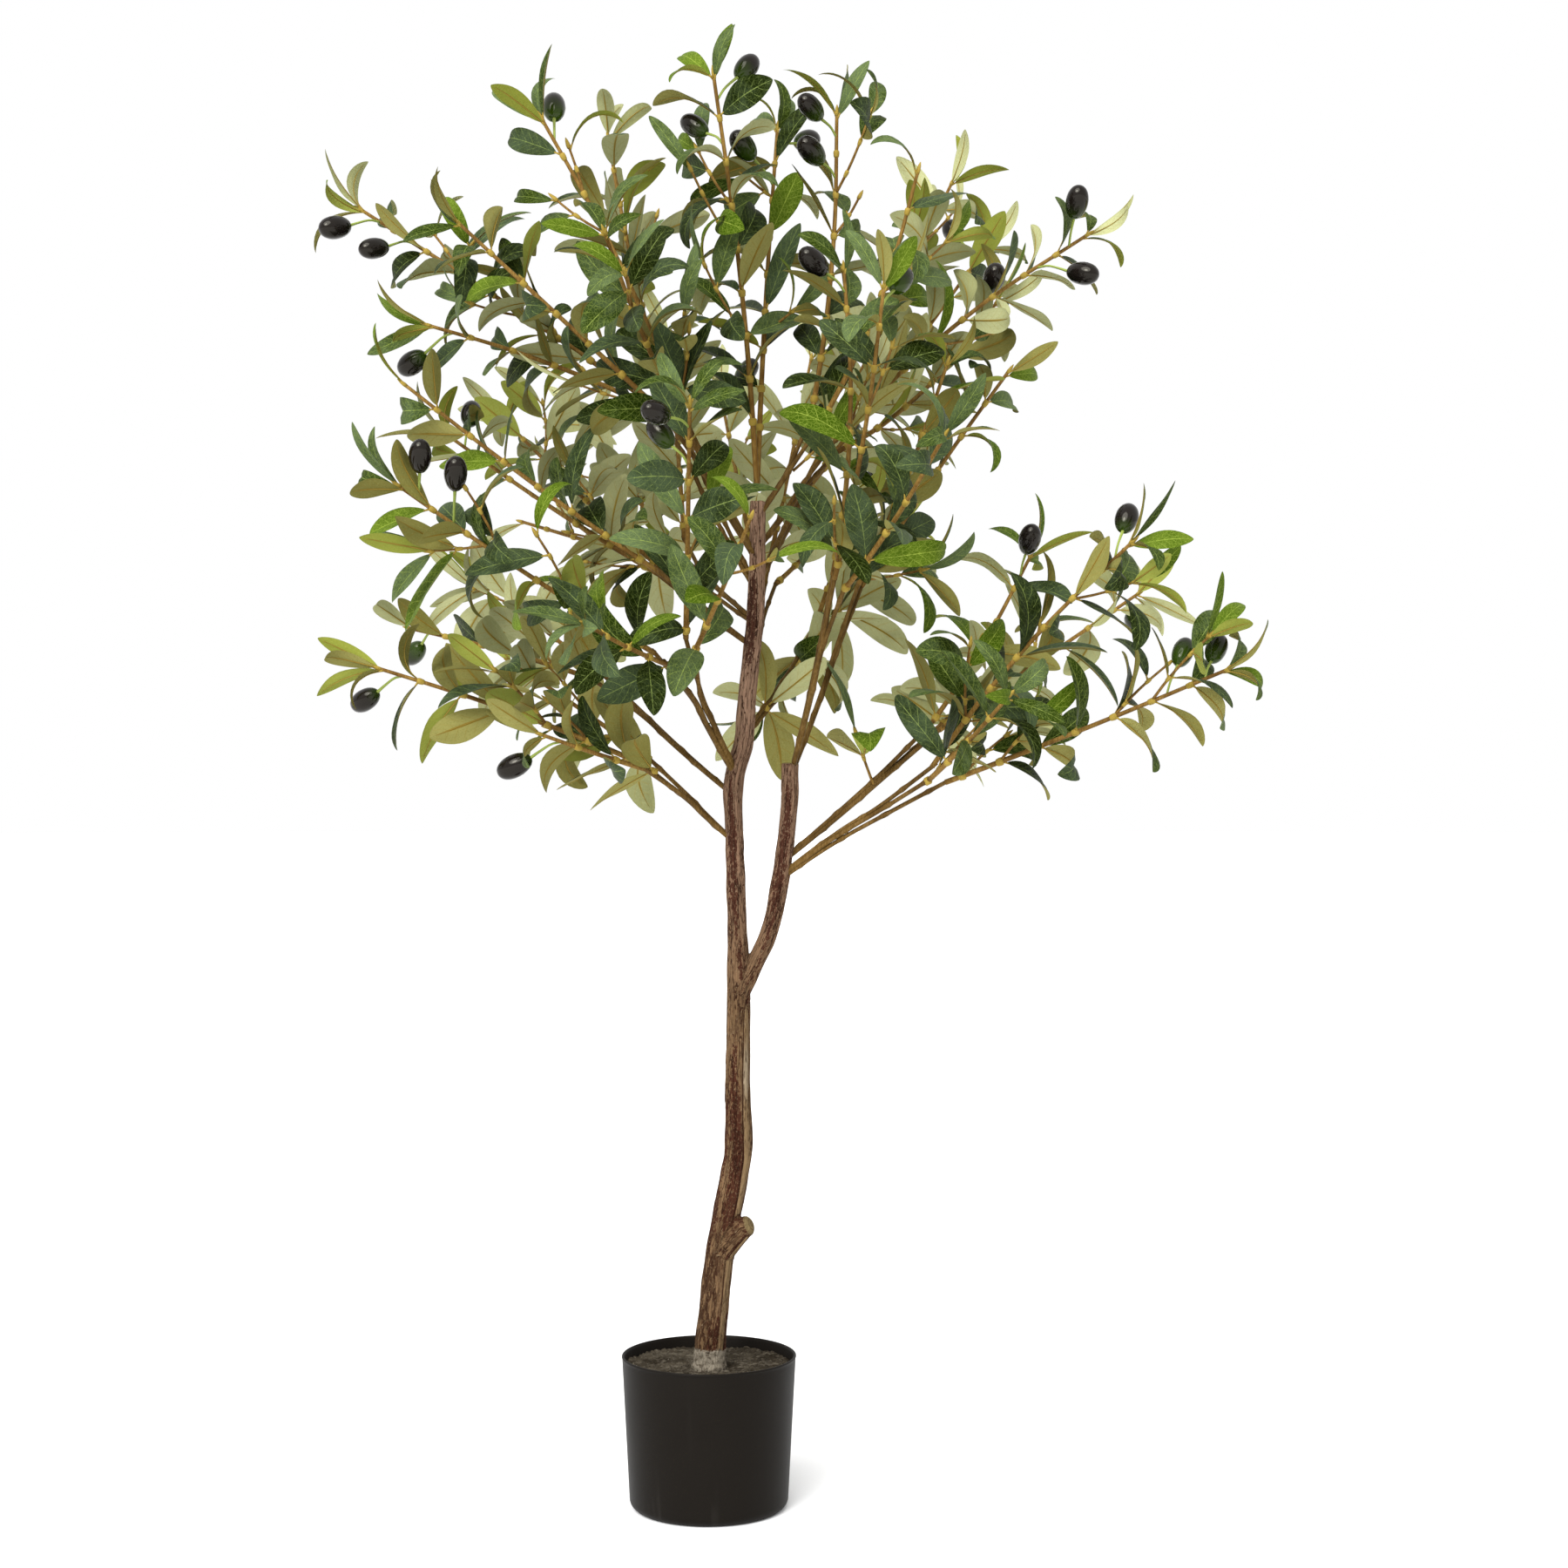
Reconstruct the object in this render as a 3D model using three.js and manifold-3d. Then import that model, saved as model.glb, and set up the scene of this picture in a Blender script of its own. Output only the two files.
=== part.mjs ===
// An artificial olive tree in a plain nursery pot that is filled with cement.
// Millimetres, +Z up. The origin is the centre of the pot's flat underside.
// The photograph looks along +Y with +X to its right. A turn is measured from +X towards +Y,
// and a rise is measured up from the level.

import * as THREE from 'three';
import { mergeVertices } from 'three/addons/utils/BufferGeometryUtils.js';
import Module from 'manifold-3d';

const wasm = await Module();
wasm.setup();

// Driving sizes

const GAP = 0.3;

const POT_HEIGHT = 129;
const POT_TOP_RADIUS = 74.2;
const POT_FOOT_RADIUS = 67.5;
const POT_WALL = 1.6;
const POT_FLOOR = 3;
const POT_FOOT_ROUND = 8;
const POT_FOOT_EASE = 2.4;
const POT_FOOT_DRAFT = 1;
const POT_RIM_BAND = 3;
const POT_RIM_STEP = 1;
const POT_BEAD = 1.2;
const POT_SIDES = 32;
const FILLING_TOP = 120;

const TRUNK_SIDES = 10;
const CROWN_TRUNK_RADIUS = 8;
const SIDE_STEM_RADIUS = 7;
const STUB_RADIUS = 5.5;
const STUB_HEIGHT = 228;
const STUB_LENGTH = 27;
const STUB_RISE = 38;
const STUB_SIDES = 8;
const BELOW_CUT = { radius: 40, depth: 40, sides: 8 };

const BOUGH_ROOT_RADIUS = 3.8;
const BOUGH_TIP_RADIUS = 3;
const BOUGH_SIDES = 5;
const BOUGH_STEPS = 3;
const BOUGH_LAYOUT_STEPS = 8;
const BOUGH_BEND = 6;
const STEM_SIDES = 4;
const STEM_ROOT_RADIUS = 3;
const STEM_TIP_RADIUS = 2.1;
const STALK_RADIUS = 1.2;

const LEAF_LENGTH = 68;
const LEAF_WIDTH = 29;
const LEAF_THICKNESS = 1.8;
const LEAF_WIDEST = 0.45;
const LEAF_SUNK = 0.4;
const LEAF_STEP = 2.4;
const LEAF_TRIES = [1, 0.8, 0.6, 0.45];
const LEAF_SWING = 9;
const LEAF_ROLL = 50;
const LEAF_DROOP = 0.25;
const LEAF_SIZE_RANGE = [0.85, 1.1];
const PAIR_OPENNESS = [40, 68];
const LAST_PAIR_SIZE = 0.85;
const TUFT_OPENNESS = [18, 34];
const TUFT_SIZE = 0.8;
const TIP_BUD = 6;
const FACE_TURN = 45;
const OLIVE_LENGTH = 28;
const OLIVE_WIDTH = 18.5;
const OLIVE_STALK = 16;
const OLIVE_LEAN = 0.5;
const OLIVE_END_SHARE = 0.3;
const OLIVE_SIDES = 5;

const BARE_PART = 0.22;
const NODE_SPACING = 42;
const STEM_STEPS = 3;
const STEM_FOOT = 12;
const STEM_GAP = 0.45;
const STEM_CLEARANCE = 1.6;
const LIMB_CLEARANCE = 6;

const FINISHES = {
  pot: { color: 0x262422, roughness: 0.55 },
  cement: { color: 0x5a5248, roughness: 0.95 },
  bark: { color: 0x6e5643, roughness: 0.8 },
  stem: { color: 0x8a6a3c, roughness: 0.7 },
  foliage: { color: 0x46573a, roughness: 0.7 },
};

// Stations of the trunk and of the side stem: height, sideways, away from the viewer, radius
const TRUNK_STATIONS = [
  [110, -0.8, 0, 12.5],
  [169, 4.4, 0, 12.1],
  [221, 10.4, 1, 11.8],
  [280, 21.5, 2, 11.5],
  [303, 25, 2, 11.6],
  [354, 24.2, 1, 10.2],
  [430, 25.2, -1, 9.2],
  [503, 24, -2, 7.4],
  [577, 21.3, -1, 7.2],
  [614, 20.8, 0, 7.8],
  [651, 29.7, 0, 8],
  [688, 32.6, 1, 7.5],
  [762, 39.6, 1, 6.9],
  [855, 41.5, 0, 6],
];
const SIDE_STEM_STATIONS = [
  [436, 27, -1, 6.7],
  [466, 41.5, -1, 6.7],
  [503, 55.6, 0, 6.7],
  [577, 66.7, 0, 6.7],
  [632, 69.7, 0, 6.6],
];

// Each bough: what carries it, its height there, its heading, and the sprays of the mass at its tip.
// Each spray: turn, rise where it starts, length, bend of the rise along it, number of olives.
const BOUGHS = [
  {
    name: 'right_low_front', from: 'side_stem', height: 534, turn: -10, rise: 38, length: 122, bend: -12,
    sprays: [[-12, 20, 282, 3, 2], [-29, 54, 285, -16, 1], [-62, 24, 170, 8, 0]],
  },
  {
    name: 'right_low_back', from: 'side_stem', height: 548, turn: 12, rise: 38, length: 140, bend: 4,
    sprays: [[34, 47, 215, 12, 1], [31, 30, 285, 0, 1], [60, 20, 160, 10, 0]],
  },
  {
    name: 'centre_front', from: 'side_stem', height: 632, out: 4.6, turn: -62, rise: 62, length: 126,
    sprays: [[-20, 77, 285, 20, 1], [-67, 56, 275, 20, 1], [-58, 30, 210, 14, 0]],
  },
  {
    name: 'centre_right', from: 'side_stem', height: 632, out: 4.6, turn: 45, rise: 62, length: 130,
    sprays: [[11, 58, 264, -5, 0], [-13, 62, 235, 10, 0]],
  },
  {
    name: 'back_right', from: 'trunk', height: 656, turn: 65, rise: 29, length: 140,
    sprays: [[61, 30, 215, 10, 0], [50, 60, 165, 10, 0], [-140, -50, 80, 0, 0]],
  },
  {
    name: 'right_high', from: 'trunk', height: 815, turn: 54, rise: 41, length: 100,
    sprays: [[28, 25, 255, 30, 1], [0, 50, 318, -20, 2]],
  },
  {
    name: 'right_high_back', from: 'trunk', height: 786, turn: 72, rise: 33, length: 116,
    sprays: [[36, 48, 345, 2, 1], [31, 60, 355, 2, 0], [60, 34, 230, 10, 0]],
  },
  {
    name: 'top_right', from: 'trunk', height: 838, turn: -5, rise: 52, length: 58,
    sprays: [[25, 77, 295, 14, 2], [-16, 57, 255, 20, 0]],
  },
  {
    name: 'top', from: 'trunk', height: 855, turn: 0, rise: 90, length: 0,
    sprays: [[-120, 84, 342, -12, 2], [70, 84, 322, -6, 2]],
  },
  {
    name: 'left_high_front', from: 'trunk', height: 806, turn: -141, rise: 51, length: 106,
    sprays: [[-153, 69, 285, -14, 1], [-171, 42, 260, 0, 0], [-118, 40, 200, 14, 0]],
  },
  {
    name: 'left_high', from: 'trunk', height: 780, turn: 140, rise: 55, length: 172,
    sprays: [[-178, 35, 325, -3, 2], [-164, 24, 225, -12, 1], [135, 67, 275, 10, 0]],
  },
  {
    name: 'left_middle', from: 'trunk', height: 732, turn: 153, rise: 34, length: 70,
    sprays: [[-170, 33, 295, 5, 0], [138, 34, 290, 4, 0], [168, 30, 260, 6, 1]],
  },
  {
    name: 'front_left', from: 'trunk', height: 622, turn: -126, rise: 48, length: 98,
    sprays: [[-86, 60, 235, 0, 2], [-70, 30, 200, 8, 0], [-160, 28, 280, 6, 2], [-120, 8, 150, 8, 0]],
  },
  {
    name: 'left_low_back', from: 'trunk', height: 606, turn: 154, rise: 37, length: 128,
    sprays: [[140, 28, 195, 6, 0], [172, 20, 200, -8, 1]],
  },
  {
    name: 'left_low', from: 'trunk', height: 566, turn: -168, rise: 43, length: 62,
    sprays: [[-168, 24, 265, -8, 1], [151, 33, 200, -4, 0], [-150, 14, 130, 4, 1]],
  },
  {
    name: 'back', from: 'trunk', height: 700, turn: 86, rise: 28, length: 150,
    sprays: [[104, 50, 280, 2, 1], [72, 56, 285, 4, 0], [62, 26, 245, 8, 1]],
  },
  {
    name: 'back_left', from: 'trunk', height: 752, turn: 118, rise: 21, length: 134,
    sprays: [[120, 34, 255, 6, 0], [98, 54, 280, 4, 1], [140, 12, 220, 4, 0]],
  },
];

// Numbers that look random but are always the same for the same keys

function chance(...keys) {
  let mixed = 2166136261;
  for (const key of keys) {
    mixed = Math.imul(mixed ^ (key + 977), 2654435761) >>> 0;
    mixed = (mixed ^ (mixed >>> 15)) >>> 0;
  }
  mixed = Math.imul(mixed, 2246822519) >>> 0;
  return ((mixed ^ (mixed >>> 13)) >>> 0) / 4294967296;
}

function between([low, high], ...keys) {
  return low + (high - low) * chance(...keys);
}

function eitherWay(most, ...keys) {
  return between([-most, most], ...keys);
}

// Lines

const radians = THREE.MathUtils.degToRad;

function heading(turn, rise) {
  const level = Math.cos(radians(rise));
  return new THREE.Vector3(
    level * Math.cos(radians(turn)),
    level * Math.sin(radians(turn)),
    Math.sin(radians(rise)),
  );
}

function bentLine(start, turn, rise, length, bend, steps) {
  const line = [start.clone()];
  for (let step = 0; step < steps; step += 1) {
    const steeper = bend * (step + 0.5) / steps;
    const next = line[step].clone();
    line.push(next.addScaledVector(heading(turn, rise + steeper), length / steps));
  }
  return line;
}

function lineLength(line) {
  let total = 0;
  for (let i = 1; i < line.length; i += 1) {
    total += line[i].distanceTo(line[i - 1]);
  }
  return total;
}

function pointAt(line, distance) {
  let left = distance;
  for (let i = 1; i < line.length; i += 1) {
    const step = line[i].distanceTo(line[i - 1]);
    if (left <= step || i === line.length - 1) {
      return line[i - 1].clone().lerp(line[i], left / step);
    }
    left -= step;
  }
  return line[0].clone();
}

function directionAt(line, distance) {
  const ahead = pointAt(line, distance + 1);
  return ahead.sub(pointAt(line, distance - 1)).normalize();
}

function partOfLine(line, from, to, steps) {
  const part = [];
  for (let step = 0; step <= steps; step += 1) {
    part.push(pointAt(line, from + (to - from) * step / steps));
  }
  return part;
}

// Two directions across each point of a line, carried along it without twisting
function acrossLine(line) {
  const start = directionAt(line, 1);
  let side = new THREE.Vector3(-start.y, start.x, 0);
  if (side.length() < 0.2) {
    side.set(1, 0, 0);
  }
  return line.map((point, i) => {
    const before = line[Math.max(i - 1, 0)];
    const after = line[Math.min(i + 1, line.length - 1)];
    const along = after.clone().sub(before).normalize();
    side = side.clone().addScaledVector(along, -side.dot(along)).normalize();
    return { side, front: side.clone().cross(along) };
  });
}

// Shapes

function bareGeometry(geometry) {
  geometry.deleteAttribute('normal');
  geometry.deleteAttribute('uv');
  return mergeVertices(geometry, 1e-5);
}

function movePoints(geometry, placeOf) {
  const places = geometry.attributes.position;
  for (let i = 0; i < places.count; i += 1) {
    const place = placeOf(new THREE.Vector3().fromBufferAttribute(places, i));
    places.setXYZ(i, place.x, place.y, place.z);
  }
  return geometry;
}

// A closed cylinder whose rings are set along a line, with one radius for each point of it
function limbGeometry(line, radii, sides) {
  const rows = line.length - 1;
  const rod = bareGeometry(new THREE.CylinderGeometry(1, 1, rows, sides, rows));
  const pairs = acrossLine(line);
  return movePoints(rod, (corner) => {
    const row = Math.round(corner.y + rows / 2);
    return line[row].clone()
      .addScaledVector(pairs[row].side, corner.x * radii[row])
      .addScaledVector(pairs[row].front, corner.z * radii[row]);
  });
}

function taperedGeometry(line, startRadius, endRadius, sides) {
  const radii = line.map((point, i) => {
    return THREE.MathUtils.lerp(startRadius, endRadius, i / (line.length - 1));
  });
  return limbGeometry(line, radii, sides);
}

// A leaf is a blade of four faces: its edges are folded up from a keel that runs root to tip
function leafGeometry({ root, tip, left, right }) {
  const corners = [root, tip, left, right].flatMap((corner) => corner.toArray());
  const geometry = new THREE.BufferGeometry();
  geometry.setAttribute('position', new THREE.Float32BufferAttribute(corners, 3));
  geometry.setIndex([0, 3, 1, 0, 1, 2, 0, 2, 3, 1, 3, 2]);
  return geometry;
}

// A stalk that swells into an olive
function oliveGeometry({ root, seat, end }) {
  const at = (share) => seat.clone().lerp(end, share);
  const line = [root, seat, at(0.25), at(0.75), end];
  const belly = OLIVE_WIDTH / 2;
  const radii = [STALK_RADIUS, STALK_RADIUS, belly, belly, belly * OLIVE_END_SHARE];
  return limbGeometry(line, radii, OLIVE_SIDES);
}

// Solids

function solidOf(geometry) {
  const vertProperties = Float32Array.from(geometry.attributes.position.array);
  const triVerts = Uint32Array.from(geometry.index.array);
  return new wasm.Manifold(new wasm.Mesh({ numProp: 3, vertProperties, triVerts }));
}

// Loose scraps are dropped and sealed hollows are filled
function oneBody(solid) {
  const shells = solid.decompose();
  shells.sort((one, other) => other.volume() - one.volume());
  return shells[0];
}

function meshOf(name, solid, finish) {
  const data = solid.getMesh();
  const geometry = new THREE.BufferGeometry();
  const places = Float32Array.from(data.vertProperties);
  geometry.setAttribute('position', new THREE.BufferAttribute(places, 3));
  geometry.setIndex(new THREE.BufferAttribute(Uint32Array.from(data.triVerts), 1));
  geometry.computeVertexNormals();
  const material = new THREE.MeshStandardMaterial({ ...finish, metalness: 0 });
  const mesh = new THREE.Mesh(geometry, material);
  mesh.name = name;
  return mesh;
}

// Pot and cement

function potSolid() {
  const innerFoot = POT_FOOT_RADIUS - POT_WALL;
  const innerTop = POT_TOP_RADIUS - POT_WALL;
  const profile = [
    [0, 0],
    [POT_FOOT_RADIUS - POT_FOOT_ROUND, 0],
    [POT_FOOT_RADIUS - POT_FOOT_EASE, POT_FOOT_EASE],
    [POT_FOOT_RADIUS, POT_FOOT_ROUND],
    [POT_TOP_RADIUS - POT_BEAD, POT_HEIGHT - POT_RIM_BAND - POT_RIM_STEP],
    [POT_TOP_RADIUS, POT_HEIGHT - POT_RIM_BAND],
    [POT_TOP_RADIUS, POT_HEIGHT],
    [innerTop, POT_HEIGHT],
    [innerFoot - POT_FOOT_DRAFT, POT_FOOT_ROUND],
    [innerFoot - POT_FOOT_ROUND, POT_FLOOR],
    [0, POT_FLOOR],
  ];
  return turned(profile);
}

function cementSolid() {
  const innerFoot = POT_FOOT_RADIUS - POT_WALL;
  const innerTop = POT_TOP_RADIUS - POT_WALL;
  const share = (FILLING_TOP - POT_FOOT_ROUND) / (POT_HEIGHT - POT_FOOT_ROUND);
  const topRadius = THREE.MathUtils.lerp(innerFoot - POT_FOOT_DRAFT, innerTop, share) - GAP;
  const profile = [
    [0, POT_FLOOR + GAP],
    [innerFoot - POT_FOOT_ROUND - GAP, POT_FLOOR + GAP],
    [innerFoot - POT_FOOT_DRAFT - GAP, POT_FOOT_ROUND + GAP],
    [topRadius, FILLING_TOP],
    [0, FILLING_TOP],
  ];
  return turned(profile);
}

function turned(profile) {
  const corners = profile.map(([radius, height]) => new THREE.Vector2(radius, height));
  const geometry = bareGeometry(new THREE.LatheGeometry(corners, POT_SIDES));
  geometry.rotateX(Math.PI / 2);
  return solidOf(withoutSlivers(geometry));
}

// On the axis a turned shape has triangles with two corners in one place, which are left out
function withoutSlivers(geometry) {
  const kept = [];
  const index = geometry.index.array;
  for (let i = 0; i < index.length; i += 3) {
    const [a, b, c] = [index[i], index[i + 1], index[i + 2]];
    if (a !== b && b !== c && c !== a) {
      kept.push(a, b, c);
    }
  }
  geometry.setIndex(kept);
  return geometry;
}

// Trunk and side stem

function stationLine(stations) {
  return stations.map(([height, sideways, away]) => new THREE.Vector3(sideways, away, height));
}

function stationRadii(stations, margin) {
  return stations.map((station) => station[3] + margin);
}

function placeAtHeight(line, height) {
  for (let i = 1; i < line.length; i += 1) {
    if (height <= line[i].z) {
      const share = (height - line[i - 1].z) / (line[i].z - line[i - 1].z);
      return line[i - 1].clone().lerp(line[i], share);
    }
  }
  return line[line.length - 1].clone();
}

const trunkLine = stationLine(TRUNK_STATIONS);
const sideStemLine = stationLine(SIDE_STEM_STATIONS);
const carriers = { trunk: trunkLine, side_stem: sideStemLine };

function stubGeometry() {
  const start = placeAtHeight(trunkLine, STUB_HEIGHT);
  const line = bentLine(start, 0, STUB_RISE, STUB_LENGTH, 0, 1);
  return taperedGeometry(line, STUB_RADIUS, STUB_RADIUS, STUB_SIDES);
}

// A line with its last point moved on past its end
function lengthened(line, more) {
  const beyond = directionAt(line, lineLength(line)).multiplyScalar(more);
  return [...line.slice(0, -1), line[line.length - 1].clone().add(beyond)];
}

// The trunk or the side stem, made fatter and longer by a margin for cutting what stands on it
function carrierSolid(name, margin) {
  const stations = name === 'trunk' ? TRUNK_STATIONS : SIDE_STEM_STATIONS;
  const line = lengthened(carriers[name], margin);
  return solidOf(limbGeometry(line, stationRadii(stations, margin), TRUNK_SIDES));
}

// The trunk with its cut stub, from a flat cut just above the cement
function trunkSolid() {
  const { radius, depth, sides } = BELOW_CUT;
  const below = bareGeometry(new THREE.CylinderGeometry(radius, radius, depth, sides));
  below.rotateX(Math.PI / 2);
  below.translate(0, 0, FILLING_TOP + GAP - depth / 2);
  return carrierSolid('trunk', 0).add(solidOf(stubGeometry())).subtract(solidOf(below));
}

function sideStemSolid() {
  return oneBody(carrierSolid('side_stem', 0).subtract(carrierSolid('trunk', GAP)));
}

// Boughs and sprays: every line is laid out first, so that each leaf can keep to its own space

function layOutBough(bough) {
  const out = heading(bough.turn, 0).multiplyScalar(bough.out ?? 0);
  const start = placeAtHeight(carriers[bough.from], bough.height).add(out);
  const reach = bough.length + STEM_FOOT;
  const ownBend = bough.bend ?? BOUGH_BEND;
  const whole = bentLine(start, bough.turn, bough.rise, reach, ownBend, BOUGH_LAYOUT_STEPS);
  const sprays = bough.sprays.map(([turn, rise, length, bend, olives]) => {
    const line = bentLine(whole[whole.length - 1], turn, rise, length, bend, STEM_STEPS);
    return { line, olives };
  });
  const stem = partOfLine(whole, bough.length + STEM_GAP, reach, 1);
  const line = bough.length > 0 ? partOfLine(whole, 0, bough.length, BOUGH_STEPS) : null;
  const stems = [stem, ...sprays.map((spray) => spray.line)];
  return { ...bough, line, stem, sprays, stems, leaves: [], olives: [] };
}

const boughs = BOUGHS.map(layOutBough);
const limbs = [
  { line: trunkLine, radius: CROWN_TRUNK_RADIUS },
  { line: sideStemLine, radius: SIDE_STEM_RADIUS },
  ...boughs.filter((bough) => bough.line).map(({ line }) => ({ line, radius: BOUGH_ROOT_RADIUS })),
];

function distanceToLine(point, line) {
  const nearest = new THREE.Vector3();
  let least = Infinity;
  for (let i = 1; i < line.length; i += 1) {
    new THREE.Line3(line[i - 1], line[i]).closestPointToPoint(point, true, nearest);
    least = Math.min(least, nearest.distanceTo(point));
  }
  return least;
}

function distanceToMass(point, mass) {
  return Math.min(...mass.stems.map((line) => distanceToLine(point, line)));
}

// A point is in a mass's own space if its stems are nearer than any other's, and limbs are clear
function inOwnSpace(point, own) {
  const away = distanceToMass(point, own);
  const nearOther = boughs.some((other) => {
    return other !== own && distanceToMass(point, other) < away + STEM_CLEARANCE;
  });
  if (nearOther) {
    return false;
  }
  return limbs.every((limb) => {
    return distanceToLine(point, limb.line) > limb.radius + LIMB_CLEARANCE;
  });
}

// Leaves and olives

function makeLeaf(node, turn, openness, size, keys) {
  const swing = eitherWay(LEAF_SWING, ...keys, 1);
  const outward = node.side.clone().applyAxisAngle(node.along, radians(turn + swing));
  const along = node.along.clone().multiplyScalar(Math.cos(radians(openness)));
  along.addScaledVector(outward, Math.sin(radians(openness)));
  along.z -= between([0, LEAF_DROOP], ...keys, 2);
  along.normalize();
  const face = node.along.clone().addScaledVector(along, -node.along.dot(along)).normalize();
  face.applyAxisAngle(along, radians(eitherWay(LEAF_ROLL, ...keys, 3)));
  const length = LEAF_LENGTH * size * between(LEAF_SIZE_RANGE, ...keys, 4);
  const width = LEAF_WIDTH * size ** 0.5 * between(LEAF_SIZE_RANGE, ...keys, 5);
  const root = node.point.clone().addScaledVector(along, -LEAF_SUNK);
  const tip = root.clone().addScaledVector(along, length);
  const across = face.clone().cross(along);
  const middle = root.clone().lerp(tip, LEAF_WIDEST).addScaledVector(face, LEAF_THICKNESS);
  const left = middle.clone().addScaledVector(across, -width / 2);
  const right = middle.clone().addScaledVector(across, width / 2);
  return { root, tip, middle, left, right };
}

// The two halves of a leaf, from its root and its tip to either edge
function leafHalves({ root, tip, left, right }) {
  return [[root, left, tip], [root, tip, right]];
}

function leafEdges({ root, tip, left, right, middle }) {
  return [[root, left], [left, tip], [root, right], [right, tip], [root, middle], [middle, tip]];
}

function goesThrough([from, to], [one, two, three]) {
  const step = to.clone().sub(from);
  const reach = step.length();
  const ray = new THREE.Ray(from, step.divideScalar(reach));
  const hit = ray.intersectTriangle(one, two, three, false, new THREE.Vector3());
  return hit !== null && hit.distanceTo(from) < reach;
}

function leavesCross(one, other) {
  if (one.middle.distanceTo(other.middle) > LEAF_LENGTH * 1.2) {
    return false;
  }
  const through = (first, second) => leafEdges(first).some((edge) => {
    return leafHalves(second).some((half) => goesThrough(edge, half));
  });
  return through(one, other) || through(other, one);
}

function leafCrossesStem(leaf, mass) {
  return mass.stems.some((line) => line.some((point, i) => {
    if (i === 0) {
      return false;
    }
    const stretch = [line[i - 1], point];
    const nearRoot = distanceToLine(leaf.root, stretch) < LEAF_SUNK + STEM_ROOT_RADIUS;
    return !nearRoot && leafHalves(leaf).some((half) => goesThrough(stretch, half));
  }));
}

function leafPoints({ root, tip, left, right, middle }) {
  const near = root.clone().lerp(middle, 0.65);
  const far = middle.clone().lerp(tip, 0.4);
  const further = middle.clone().lerp(tip, 0.75);
  return [near, left, middle, right, far, further, tip];
}

// A leaf that would leave its space or meet another leaf is tried closer to its stem, and then
// left out
function addLeaf(node, turn, openness, size, own, keys) {
  for (const share of LEAF_TRIES) {
    const leaf = makeLeaf(node, turn, openness * share, size, keys);
    const inSpace = leafPoints(leaf).every((point) => inOwnSpace(point, own));
    const meets = own.leaves.some((other) => leavesCross(leaf, other)) || leafCrossesStem(leaf, own);
    if (inSpace && !meets) {
      own.leaves.push(leaf);
      return;
    }
  }
}

// A place on a stem, with the direction out of one of the corners of its square section
function nodeAt(line, distance) {
  const along = directionAt(line, distance);
  const row = Math.round((line.length - 1) * distance / lineLength(line));
  const side = acrossLine(line)[row].side.clone();
  side.addScaledVector(along, -side.dot(along)).normalize();
  return { point: pointAt(line, distance), along, side };
}

function addLeafPair(line, distance, turn, size, own, keys) {
  [0, 180].forEach((half, i) => {
    const node = nodeAt(line, distance + LEAF_STEP * i);
    addLeaf(node, turn + half, between(PAIR_OPENNESS, ...keys, i, 7), size, own, [...keys, i]);
  });
}

function addTipTuft(line, own, keys) {
  [0, 180, 90].forEach((turn, i) => {
    const node = nodeAt(line, lineLength(line) - TIP_BUD - LEAF_STEP * i);
    const openness = between(TUFT_OPENNESS, ...keys, i, 8);
    addLeaf(node, FACE_TURN + turn, openness, TUFT_SIZE, own, [...keys, i, 9]);
  });
}

function addOlive(line, distance, own, keys) {
  for (const swing of [0, 90, 180, 270]) {
    const node = nodeAt(line, distance);
    const turn = FACE_TURN + swing + 90 * Math.floor(4 * chance(...keys, 22));
    const outward = node.side.clone().applyAxisAngle(node.along, radians(turn));
    const along = outward.addScaledVector(node.along, OLIVE_LEAN).normalize();
    const [seat, end] = [OLIVE_STALK, OLIVE_STALK + OLIVE_LENGTH].map((reach) => {
      return node.point.clone().addScaledVector(along, reach);
    });
    const fits = [seat, seat.clone().lerp(end, 0.5), end].every((point) => inOwnSpace(point, own));
    const nearLeaf = own.leaves.some((leaf) => {
      return leafPoints(leaf).some((point) => distanceToLine(point, [seat, end]) < OLIVE_WIDTH / 2);
    });
    if (fits && !nearLeaf) {
      own.olives.push({ root: node.point, seat, end });
      return;
    }
  }
}

// The tip comes first, so that nothing further down takes its room
function growSpray(spray, own, keys) {
  const length = lineLength(spray.line);
  const nodes = Math.round(length * (1 - BARE_PART) / NODE_SPACING);
  const first = length * BARE_PART;
  const spacing = (length - first) / nodes;
  for (let i = 0; i < spray.olives; i += 1) {
    addOlive(spray.line, length - spacing * (i + 0.6), own, [...keys, i]);
  }
  addTipTuft(spray.line, own, [...keys, nodes]);
  for (let i = nodes - 1; i >= 0; i -= 1) {
    const size = i < nodes - 1 ? 1 : LAST_PAIR_SIZE;
    const turn = FACE_TURN + 90 * (i % 2);
    addLeafPair(spray.line, first + i * spacing, turn, size, own, [...keys, i]);
  }
}

function sprayGeometry({ line }) {
  return taperedGeometry(line, STEM_ROOT_RADIUS, STEM_TIP_RADIUS, STEM_SIDES);
}

function massSolid(own, index) {
  own.sprays.forEach((spray, i) => growSpray(spray, own, [index, i]));
  const pieces = [
    taperedGeometry(own.stem, BOUGH_TIP_RADIUS, BOUGH_TIP_RADIUS, BOUGH_SIDES),
    ...own.sprays.map(sprayGeometry),
    ...own.leaves.map(leafGeometry),
    ...own.olives.map(oliveGeometry),
  ];
  return oneBody(pieces.map(solidOf).reduce((sum, solid) => sum.add(solid)));
}

function boughSolid({ line, from }) {
  const limb = taperedGeometry(line, BOUGH_ROOT_RADIUS, BOUGH_TIP_RADIUS, BOUGH_SIDES);
  return oneBody(solidOf(limb).subtract(carrierSolid(from, GAP)));
}

// The whole plant

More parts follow.
